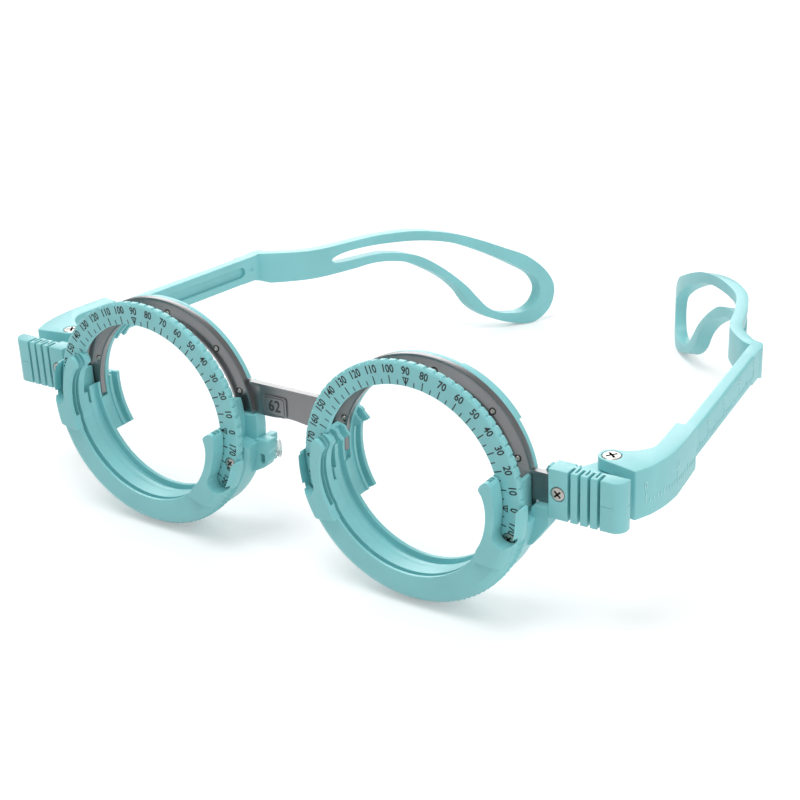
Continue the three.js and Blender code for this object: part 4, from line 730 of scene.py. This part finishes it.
STRAP_END = 10.34
STRAP_TOP = 9
STRAP_LOW = ((-1, 2.9), (-0.75, 2.45), (-0.4, 2.45), (0, 2.85), (0.4, 2.45), (0.75, 2.45), (1, 2.9))
TAB_END, TAB_LOW, TAB_TOP = 29.3, -0.9, 4.8
NUMBER_PLACE = (-3.4, 4.95)


def sided(piece, sign):
    """Mirrors the mesh where the sign is -1."""
    piece.data.transform(Matrix.Diagonal((sign, 1, 1, 1)))
    if sign < 0:
        piece.data.flip_normals()


def half_bar(pin_angles):
    inner, inner_wall, outer_wall, outer = 18.2, 18.7, 21.6, 22.2
    tab_flange = 4.2
    profile = points((inner, BAR_FRONT_Y), (inner_wall, BAR_FRONT_Y), (inner_wall, BAR_WEB_Y),
                     (outer_wall, BAR_WEB_Y), (outer_wall, BAR_FRONT_Y), (outer, BAR_FRONT_Y),
                     (outer, BAR_BACK_Y), (inner, BAR_BACK_Y))
    half = turned(soften(profile, FINE_ROUND, 2))
    keep(half, prism([*wedge(24, -6, 173.6), *arc(inner_wall, 173.6, 182.3)], 5, 9))
    cut(half, block((21, 29), (5, BAR_WEB_Y), (-4, tab_flange)))
    join(half, block((outer_wall, TAB_END), (6.6, BAR_BACK_Y), (TAB_LOW, TAB_TOP)))
    join(half, block((outer_wall, TAB_END), (BAR_FRONT_Y, BAR_BACK_Y), (tab_flange, TAB_TOP)))
    cut(half, pin(0.85, 5, 9, (BLOCK_SCREW_PLACE[0] - RING_X, BLOCK_SCREW_PLACE[2])))
    for angle in pin_angles:
        cut(half, pin(PIN_HOLE_RADIUS, 6, 9, polar(PIN_CIRCLE, angle)))
    return half


def strap_shape():
    """The strap, flush with the web at its ends and forward of it between its bends."""
    end, top = STRAP_END, STRAP_TOP
    low = flowing(points(*[(share * end, z) for share, z in STRAP_LOW]), 6)
    bend = flowing(points((-9.6, BAR_WEB_Y), (-9.0, 7.05), (-8.4, 6.9), (-7.6, 6.62), (-7.0, 6.52),
                          (-6.4, STRAP_FRONT_Y)), 4)
    front = [Vector((-end, BAR_WEB_Y)), *bend, *mirrored(bend), Vector((end, BAR_WEB_Y))]
    strap = prism([*low, *points((end, top), (-end, top))], 6, BAR_BACK_Y)
    return keep(strap, prism([*front, *points((end, BAR_BACK_Y), (-end, BAR_BACK_Y))], 0, 12, "z"))


def number_plate():
    """The raised plate of the number, with a fine groove inside its edge."""
    half_wide, half_high, corner, proud_y, groove_y = 2.8, 2.15, 0.8, 6.15, 6.27
    x, z = NUMBER_PLACE
    outline = soften(rectangle((x - half_wide, x + half_wide), (z - half_high, z + half_high)), corner, 5)

    def shrunk(share):
        return [(p - Vector((x, z))) * share + Vector((x, z)) for p in outline]

    groove = cut(prism(shrunk(0.88), 6, groove_y), prism(shrunk(0.8), 5, 7))
    return cut(ease(prism(outline, proud_y, 7), FINE_ROUND, 2, 60), groove)


def bar_shape():
    halves = []
    for side, sign in SIGN.items():
        half = half_bar(PIN_ANGLES[side])
        sided(half, sign)
        shift(half, sign * RING_X, 0, 0)
        halves.append(half)
    edge_end = 0.9 * STRAP_END
    top_edge = block((-edge_end, edge_end), (BAR_FRONT_Y, BAR_BACK_Y), (8.5, STRAP_TOP))
    return join(*halves, strap_shape(), top_edge, number_plate())


# The number wears the near-black metal of painted shade.
def bar_number_shape():
    number = number_shape("62", 2.45, 0.12, 0.01)
    shift(number, NUMBER_PLACE[0], 6.12, NUMBER_PLACE[1])
    return number


# Hinge block: clamp on the bar's tab, elastic part with slots, paddle, and lug for the hinge

BLOCK_SCREW_PLACE = (58.9, 4.05, 2.6)


def hinge_block_shape():
    def x(place):
        return place - PIVOT[0]

    def y(place):
        return place - PIVOT[1]

    front, back, low, high = y(BLOCK_SCREW_PLACE[1]), y(7.1), -2.3, 7.2
    clamp_start, slot_start, end = 57.1, 61.1, x(71.2)
    bow, slots, pitch, half, rear_half, slot_deep = 2.2, 4, 1.87, 0.3, 0.225, 2.3
    strip = [*points((x(clamp_start), front), (end - bow, front)),
             *around((end - bow, front + bow), bow, -90, 0, 12)[1:],
             *points((end, back), (x(clamp_start), back))]
    hinge_block = ease(prism(strip, low, high, "z"), FINE_ROUND, 2)
    for i in range(slots):
        middle = x(slot_start + i * pitch)
        slot = block((middle - half, middle + half), (front - 2, front + slot_deep), (low - 1, high + 1))
        cut(hinge_block, ease(slot, 0.1, 2))
        if i < slots - 1:
            middle += pitch / 2
            cut(hinge_block, block((middle - rear_half, middle + rear_half), (back - slot_deep, back + 2),
                                   (low - 1, high + 1)))
    clamp_end = x(slot_start) - half
    clamp = ease(block((x(clamp_start), clamp_end), (front, y(7.95)), (low, high)), 0.18, 3)
    peak = points((x(54.4), -0.85), (clamp_end, -0.85), (clamp_end, 6.4), (x(clamp_start), 5.0),
                  (x(55.2), 5.8), (x(54.4), 4.2))
    rear_wall = prism(soften(peak, 0.2), y(7.75), y(9.4))
    lug_radius = 3.2
    root_inner, root_outer = points((x(57.6), y(8.8)), (x(61.3), y(8.8)))

    def touch(corner, way):
        """Where the straight side from the corner meets the lug's round end."""
        away = math.atan2(corner.y, corner.x)
        return math.degrees(away + way * math.acos(lug_radius / corner.length))

    lug_end = arc(lug_radius, touch(root_outer, 1), touch(root_inner, -1) + FULL_TURN, 5)
    join(hinge_block, clamp, rear_wall, prism([root_inner, root_outer, *lug_end], 0.2, 4.5, "z"))
    gap = CLEARANCE
    cut(hinge_block, block((x(clamp_start) - 2, x(RING_X + TAB_END) + gap), (y(6.15), y(7.75)),
                           (TAB_LOW - gap, TAB_TOP + gap)))
    cut(hinge_block, screw_hole((x(BLOCK_SCREW_PLACE[0]), BLOCK_SCREW_PLACE[2]), front, *BLOCK_SCREW))
    cut(hinge_block, pin(1.05, -2, 6, (0, 0), "z"))
    line_z, line_deep = (2.4, 2.5), 0.06
    cut(hinge_block, block((x(67.2), x(73)), (front - 1, front + line_deep), line_z))
    cut(hinge_block, block((end - line_deep, end + 1), (front, back + 1), line_z))
    return hinge_block


# Sleeve: a fork round the hinge, a corner and a flat sleeve for the arm

SLEEVE_WIDE, SLEEVE_LONG = 9.9, 17.04
SLEEVE_LOW, SLEEVE_TOP = -2.45, 6.95
SLEEVE_CORNER = (0.6, -0.265)
SLEEVE_SIDE = ((0.785, -0.08), (0.905, 0.14), (0.975, 0.39), (0.995, 0.6), (1, 0.8), (1, 1))
SLEEVE_INNER = ((0.597, 1), (0.597, 0.6), (0.57, 0.376), (0.465, 0.274), (0.318, 0.2), (0.12, 0.15))
HINGE_RADIUS = 2.4
NUT_RADIUS = 3.5 / math.sqrt(3)


def sleeve_line(shares):
    return [Vector((out * SLEEVE_WIDE, back * SLEEVE_LONG)) for out, back in shares]


def sleeve_side():
    """The sleeve's outer side from above, from its front corner to its end."""
    corner, *through = sleeve_line((SLEEVE_CORNER, *SLEEVE_SIDE))
    return [corner + Vector((0.05, 0)), *flowing(through, 6)]


def hexagon(radius):
    return [polar(radius, 60 * i) for i in range(6)]


def sleeve_shape():
    long, low, top = SLEEVE_LONG, SLEEVE_LOW, SLEEVE_TOP
    corner = sleeve_line([SLEEVE_CORNER])[0]
    tangent = math.degrees(math.atan2(corner.y, corner.x) - math.acos(HINGE_RADIUS / corner.length))
    inner_line = flowing([*sleeve_line(SLEEVE_INNER), polar(HINGE_RADIUS, 88)], 6)
    outline = [*sleeve_side(), *inner_line, *arc(HINGE_RADIUS, 92, tangent + FULL_TURN, 5)]
    sleeve = prism(soften(outline, 0.35, 4, 25), low, top, "z")
    side = points((-0.5 * long, low), (0.42 * long, low), (0.6 * long, -2.02), (long, -1.6), (long, top),
                  (-0.5 * long, top))
    keep(sleeve, prism(side, -20, 30, "x"))
    sleeve = ease(sleeve, 0.22, 3, 35)
    fork_radius, fork_z = 3.5, (-0.05, 4.75)
    cut(sleeve, pin(fork_radius, *fork_z, (0, 0), "z", steps=64))
    way_inner, way_outer, way_z = 6.25, 9.35, (-1.15, 5.45)
    way = points((way_inner, 6.5), (8.35, 6.5), (way_outer, 10.5), (way_outer, long + 2),
                 (way_inner, long + 2))
    cut(sleeve, ease(prism(way, *way_z, "z"), 0.2, 2))
    stop = block((6.1, 7.15), (15.7, 16.7), (SLOT_Z - 0.5, SLOT_Z + 0.5))
    join(sleeve, ease(stop, 0.1, 1))
    cut(sleeve, rod([(0, -3.5), (0.95, -3.5), (0.95, 5.9), (1.9, 6.9), (1.9, 8), (0, 8)], 48, (0, 0), "z"))
    cut(sleeve, prism(hexagon(NUT_RADIUS + CLEARANCE), -3.5, -1.05, "z"))
    nub = rod([(0, -0.2), (0.55, -0.12), (0.62, 0.2), (0, 0.3)], 24)
    nub.data.transform(turning(26, "Z"))
    shift(nub, 4.6, -4.0, 4.4)
    return join(sleeve, nub)


# Arm: a straight strip with a slot on its inner side, a bend, and a loop

BEND = ((0.07, 0.04), (0.19, 0.158), (0.244, 0.317), (0.32, 0.461), (0.487, 0.584), (0.69, 0.72),
        (0.86, 0.85), (0.962, 0.965), (1, 1.052))
LOOP_TOP = ((0.02, 0.222), (0.23, 0.173), (0.46, 0.165), (0.565, 0.165), (0.665, 0.1), (0.74, 0.005),
            (0.817, -0.115), (0.89, -0.235), (0.96, -0.43), (1, -0.64), (0.985, -0.85), (0.93, -0.985),
            (0.875, -1))
LOOP_LOW = ((0.8, -0.933), (0.745, -0.838), (0.708, -0.72), (0.676, -0.536), (0.626, -0.363),
            (0.545, -0.194), (0.493, -0.144), (0.416, -0.124), (0.314, -0.132), (0.2, -0.12), (0.02, -0.09))
OPENING = ((0.245, 0.045), (0.32, 0.075), (0.46, 0.065), (0.565, 0.06), (0.66, 0), (0.76, -0.15),
           (0.855, -0.335), (0.915, -0.475), (0.94, -0.64), (0.92, -0.79), (0.87, -0.865), (0.8, -0.84),
           (0.757, -0.76), (0.725, -0.63), (0.69, -0.475), (0.63, -0.275), (0.56, -0.11), (0.48, -0.045),
           (0.4, -0.035), (0.3, -0.03), (0.25, -0.01))
ARM_OUT, ARM_THICK, ARM_LOW, ARM_TOP, ARM_START = 9.1, 2.6, -0.9, 5.2, 10.7
STRAIGHT_END, LOOP_LONG, LOOP_IN, LOOP_DROP = 62.0, 69.4, 38.8, 24.25
SLOT_Z = 2.1


def loop_line(shares):
    return [Vector((STRAIGHT_END + along * LOOP_LONG, drop * LOOP_DROP)) for along, drop in shares]


def bend_outline():
    """The end of the arm from above, as thick as the strip all along."""
    half = ARM_THICK / 2
    middle = ARM_OUT - half
    straight = points((middle, 54), (middle, 60), (middle, 62.5))
    bend = [Vector((middle - inward * LOOP_IN, STRAIGHT_END + along * LOOP_LONG)) for inward, along in BEND]
    line = flowing(straight + bend, 6)
    outer, inner = [], []
    for i, here in enumerate(line):
        along = (line[min(i + 1, len(line) - 1)] - line[max(i - 1, 0)]).normalized()
        out = Vector((along.y, -along.x)) * half
        outer.append(here + out)
        inner.append(here - out)
    return outer + inner[::-1]


def arm_shape():
    inner, chamfer = ARM_OUT - ARM_THICK, 0.35
    section = points((inner, ARM_LOW), (ARM_OUT - chamfer, ARM_LOW), (ARM_OUT, ARM_LOW + chamfer),
                     (ARM_OUT, ARM_TOP - chamfer), (ARM_OUT - chamfer, ARM_TOP), (inner, ARM_TOP))
    strip = prism(soften(section, 0.2, 2), ARM_START, 58)
    lead_in = points((8.1, ARM_START), (11, ARM_START), (11, ARM_START + 4), (ARM_OUT, ARM_START + 4))
    cut(strip, prism(lead_in, -5, 9, "z"))
    overlap, join_end, far = 56, 60, 80
    outline = [*points((overlap, ARM_TOP), (join_end, ARM_TOP)), *flowing(loop_line(LOOP_TOP + LOOP_LOW), 5),
               *points((join_end, -0.95), (overlap, ARM_LOW))]
    loop = prism(bend_outline(), -60, 60, "z")
    keep(loop, prism(outline, -far, far, "x"))
    cut(loop, prism(flowing(loop_line(OPENING), 5, True), -far, far, "x"))
    arm = join(ease(loop, 0.4, 3, 42), strip)
    slot_start, slot_end, slot_half, slot_deep = 12.6, 55.7, 1.3, 0.9
    slot = [*points((slot_start, SLOT_Z + slot_half), (slot_start, SLOT_Z - slot_half)),
            *around((slot_end, SLOT_Z), slot_half, -90, 90, 12)]
    cut(arm, prism(slot, inner - 2, inner + slot_deep, "x"))
    dimple = rod([(0, -0.5), (0.55, -0.5), (0.5, 0.12), (0, 0.2)], 20)
    dimple.data.transform(turning(-90, "Z"))
    shift(dimple, inner, 59.2, SLOT_Z)
    return cut(arm, dimple)


def on_line(line, distance):
    """The place at a distance along a line of (x, y), with +x along it and -y looking out to its right."""
    for start, end in zip(line, line[1:]):
        step = end - start
        if distance <= step.length:
            spot = start + step.normalized() * distance
            return Matrix.Translation((*spot, 0)) @ Matrix.Rotation(math.atan2(step.y, step.x), 4, "Z")
        distance -= step.length
    raise ValueError("the scale runs past the end of its side")


def raised_scale(line, zero, first, last, sign):
    """Ticks every millimetre and numerals at each tenth, on a piece's outer side."""
    low, proud, sunk, half = 0.25, 0.11, 0.12, 0.1
    heights = {0: 2.1, 5: 1.45}
    other_height, number_high, number_up, bold = 0.8, 1.4, 3.4, 0.012
    marks = []
    for count in range(first, last + 1):
        place = on_line(line, zero + count)
        tall = heights.get(count % 10, other_height)
        tick = block((-half, half), (-proud, sunk), (low, low + tall))
        tick.data.transform(place)
        marks.append(tick)
        if count % 10 == 0:
            number = number_shape(str(count), number_high, proud + sunk, bold)
            sided(number, sign)
            number.data.transform(place @ Matrix.Translation((0, (sunk - proud) / 2, low + number_up)))
            marks.append(number)
    return gathered(marks)


# Nose pad

def ball(rows, steps):
    """The corners and faces of a ball of radius 1, its poles on the z axis."""
    corners, faces = [(0, 0, 1)], []
    for i in range(1, rows):
        down = math.pi * i / rows
        for k in range(steps):
            turn = 2 * math.pi * k / steps
            corners.append((math.sin(down) * math.cos(turn), math.sin(down) * math.sin(turn),
                            math.cos(down)))
    corners.append((0, 0, -1))
    last = len(corners) - 1
    for k in range(steps):
        after = (k + 1) % steps
        faces.append([0, 1 + k, 1 + after])
        faces.append([last, last - steps + after, last - steps + k])
        for i in range(rows - 2):
            row = 1 + i * steps
            faces.append([row + k, row + steps + k, row + steps + after, row + after])
    return corners, faces


def pad_shape():
    """Soft oval pad with a socket for the post, its face away from the post."""
    half_wide, half_thick, half_high, fullness, taper = 2.6, 0.7, 1.6, 0.8, 0.1
    front_hollow, back_share = 0.2, 0.3
    corners, faces = ball(18, 36)
    shaped = []
    for x, y, z in corners:
        flat = math.copysign(abs(y) ** fullness, y)
        hollow = front_hollow * (1 - x * x) * (1 if y < 0 else back_share)
        shaped.append((half_wide * x * (1 - taper * z), half_thick * flat - hollow, half_high * z))
    pad = solid("pad", shaped, faces)
    shift(pad, 0, 1.0, -6.8)
    socket = [(0, -8.2), (1.15, -8.2), (1.3, -8.05), (1.3, -5.55), (1.15, -5.4), (0, -5.4)]
    join(pad, rod(socket, 32, (0, 0), "z"))
    return cut(pad, pin(0.8, -10, -3, (0, 0), "z"))


# Assembly

def bar_pin_shape():
    """A pin with a domed head and a thin ring round it on the web, painted dark as the shade round the head.
    """
    ring_inner = 0.56
    profile = [(0, -0.42), (0.22, -0.39), (0.4, -0.28), (0.5, -0.12), (0.52, -0.05), (0.7, -0.05),
               (0.7, -0.01), (0.38, -0.01), (0.38, 1.5), (0, 1.5)]
    # The ring's faces beyond ring_inner get painted shade.
    return darkened(rod(profile, 28), lambda centre, out: out > ring_inner)


def nut_shape():
    nut = ease(prism(hexagon(NUT_RADIUS), -2.3, -1.2, "z"), 0.1, 2)
    return cut(nut, pin(0.875, -4, 0, (0, 0), "z"))


def on_circle(place, side, radius, angle, y):
    at = polar(radius, angle)
    return place @ Matrix.Translation((SIGN[side] * at.x, y, at.y))


def set_down(shape, *where):
    """Places a shape that is used only once."""
    placed(shape, *where)
    bpy.data.objects.remove(shape)


def build():
    screws = [cross_screw(*screw) for screw in (DIAL_SCREW, BLOCK_SCREW, HINGE_SCREW)]
    dial_screw, block_screw, hinge_screw = screws
    bar_pin, nut, dial, carrier = bar_pin_shape(), nut_shape(), dial_shape(), carrier_shape()
    hinge_block, sleeve, arm, pad = hinge_block_shape(), sleeve_shape(), arm_shape(), pad_shape()
    plastic, steel = "cyan_plastic", "bright_steel"
    screwed = (STEEL, PAINTED_SHADE_STEEL)
    sleeve_zero, arm_scale_start, arm_zero = 2.42, 18.04, -21.5
    arm_side = points((ARM_OUT, arm_scale_start), (ARM_OUT, 60))
    pad_yaw = Matrix.Translation((*PAD_POST, 0)) @ turning(51.5, "Z")
    screw_down = Matrix.Translation((0, 0, SLEEVE_TOP)) @ turning(-90, "X")

    set_down(bar_shape(), "bar_pressing", ROW_FRAME, GREY, "frame", "grey_metal", "bar")
    set_down(bar_number_shape(), "bar_number", ROW_FRAME, SHADE_PAINTED_GREY, "frame")
    for side, sign in SIGN.items():
        eyepiece, hinge = side_place(side, RING_X), side_place(side, *PIVOT)
        plain = ROW_FRAME @ Matrix.Translation((sign * RING_X, 0, 0))
        temple = hinge @ turning(TOE_IN[side], "Z")
        on_temple, on_arm = f"{side}_temple", f"{side}_arm"
        set_down(body_shape(side), f"body_moulding_{side}", eyepiece, CYAN, "frame", plastic,
                 f"body_{side}")
        placed(dial, f"dial_ring_{side}", plain, CYAN, "frame", plastic, f"dial_{side}")
        set_down(scale_shape(SCALE_TURNED[side]), f"dial_print_{side}", plain, INK, "frame")
        turn = turning(CARRIER_TURNED[side], "Y")
        placed(carrier, f"carrier_moulding_{side}", plain @ turn, CYAN, f"{side}_carrier", plastic,
               f"carrier_{side}")
        for where, angle in SCREW_ANGLES.items():
            spot = on_circle(plain, side, SCREW_CIRCLE, angle, 0)
            placed(dial_screw, f"dial_fixing_{side}_{where}", spot, screwed, "frame", steel,
                   f"dial_screw_{side}_{where}")
        for i, angle in enumerate(PIN_ANGLES[side]):
            spot = on_circle(plain, side, PIN_CIRCLE, angle, BAR_WEB_Y)
            placed(bar_pin, f"bar_rivet_{side}_{i + 1}", spot, screwed, "frame", steel,
                   f"bar_pin_{side}_{i + 1}")
        placed(pad, f"pad_moulding_{side}", eyepiece @ pad_yaw, CLEAR, f"{side}_pad", "clear_silicone",
               f"nose_pad_{side}")
        placed(hinge_block, f"block_moulding_{side}", hinge, CYAN, "frame", plastic, f"hinge_block_{side}")
        x, y, z = BLOCK_SCREW_PLACE
        spot = ROW_FRAME @ Matrix.Translation((sign * x, y, z))
        placed(block_screw, f"block_fixing_{side}", spot, screwed, "frame", steel, f"block_screw_{side}")
        placed(sleeve, f"sleeve_moulding_{side}", temple, CYAN, on_temple, plastic, f"sleeve_{side}")
        # The sleeve and arm scales wear the lighter cyan of a painted highlight.
        sleeve_scale = raised_scale(sleeve_side(), sleeve_zero, 0, 19, sign)
        set_down(sleeve_scale, f"sleeve_scale_{side}", temple, SCALE_HIGHLIGHT, on_temple, plastic)
        placed(arm, f"arm_moulding_{side}", temple, CYAN, on_arm, plastic, f"arm_{side}")
        arm_scale = raised_scale(arm_side, arm_zero, 22, 60, sign)
        set_down(arm_scale, f"arm_scale_{side}", temple, SCALE_HIGHLIGHT, on_arm, plastic)
        placed(hinge_screw, f"hinge_fixing_{side}", temple @ screw_down, screwed, on_temple, steel,
               f"hinge_screw_{side}")
        placed(nut, f"hinge_hexagon_{side}", temple, STEEL, on_temple, steel, f"hinge_nut_{side}")
    for template in (*screws, bar_pin, nut, dial, carrier, hinge_block, sleeve, arm, pad):
        bpy.data.objects.remove(template)


# Room

WHITE = (1, 1, 1, 1)
# Each lamp aims at the origin: place and size in metres, power in watts
LAMPS = (("key", (-0.1, -0.15, 0.9), 0.6, 3.9), ("fill", (0.9, -0.2, 0.5), 0.7, 2.9),
         ("back", (-0.6, 0.9, 0.5), 0.9, 6.5))


def stage_floor():
    """A pale floor just under the object that glows a little, to the camera and in gloss only."""
    far, gap = 6, 0.0002
    camera_glow, gloss_share = 0.3, 0.9
    z = cad_low.z - gap
    mesh = bpy.data.meshes.new("floor")
    mesh.from_pydata([(-far, -far, z), (far, -far, z), (far, far, z), (-far, far, z)], [], [[0, 1, 2, 3]])
    floor = new_object("floor", mesh)
    material = bpy.data.materials.new("pale_floor")
    material.use_nodes = True
    nodes = material.node_tree.nodes
    link = material.node_tree.links.new
    shader = set_inputs(nodes["Principled BSDF"], Base_Color=(0.8, 0.8, 0.8, 1), Roughness=0.9,
                        Specular_IOR_Level=0.0, Emission_Color=WHITE)
    path = nodes.new("ShaderNodeLightPath")
    glow = nodes.new("ShaderNodeMath")
    glow.operation = "MULTIPLY"
    glow.inputs[1].default_value = camera_glow
    seen = nodes.new("ShaderNodeMath")
    seen.operation = "MULTIPLY_ADD"
    seen.inputs[1].default_value = gloss_share
    link(path.outputs["Is Glossy Ray"], seen.inputs[0])
    link(path.outputs["Is Camera Ray"], seen.inputs[2])
    link(seen.outputs[0], glow.inputs[0])
    link(glow.outputs[0], shader.inputs["Emission Strength"])
    mesh.materials.append(material)


def stage_light():
    """A white world, dimmer as a lamp than to the camera, and three lamps."""
    world = bpy.data.worlds.new("studio")
    bpy.context.scene.world = world
    world.use_nodes = True
    nodes = world.node_tree.nodes
    link = world.node_tree.links.new
    light = set_inputs(nodes["Background"], Color=WHITE, Strength=0.41)
    seen = set_inputs(nodes.new("ShaderNodeBackground"), Color=WHITE, Strength=1.0)
    path = nodes.new("ShaderNodeLightPath")
    chosen = nodes.new("ShaderNodeMixShader")
    link(path.outputs["Is Camera Ray"], chosen.inputs[0])
    link(light.outputs[0], chosen.inputs[1])
    link(seen.outputs[0], chosen.inputs[2])
    link(chosen.outputs[0], nodes["World Output"].inputs["Surface"])
    for name, place, size, power in LAMPS:
        lamp = bpy.data.lights.new(name, "AREA")
        lamp.shape = "DISK"
        lamp.size = size
        lamp.energy = power
        holder = new_object(name, lamp)
        holder.location = place
        holder.visible_camera = False
        holder.rotation_euler = (-Vector(place)).to_track_quat("-Z", "Y").to_euler()


def stage_camera():
    """The photograph's point of view, solved from the ticks of the dials."""
    place = (0.17236, -0.21738, 0.12368)
    back = Vector((0.5112, -0.7567, 0.4074)).normalized()
    roll = math.radians(-2.382)
    forward = -back
    level = forward.cross(Vector((0, 0, 1))).normalized()
    upward = level.cross(forward)
    right = level * math.cos(roll) + upward * math.sin(roll)
    up = upward * math.cos(roll) - level * math.sin(roll)
    data = bpy.data.cameras.new("camera")
    data.lens = 71.43
    data.sensor_width = 36
    data.clip_start = 0.01
    data.clip_end = 50
    camera = new_object("camera", data)
    basis = Matrix((right, up, back)).transposed().to_4x4()
    camera.matrix_world = Matrix.Translation(place) @ basis
    bpy.context.scene.camera = camera


build()
stage_floor()
stage_light()
stage_camera()
bpy.context.scene.view_settings.view_transform = "Standard"
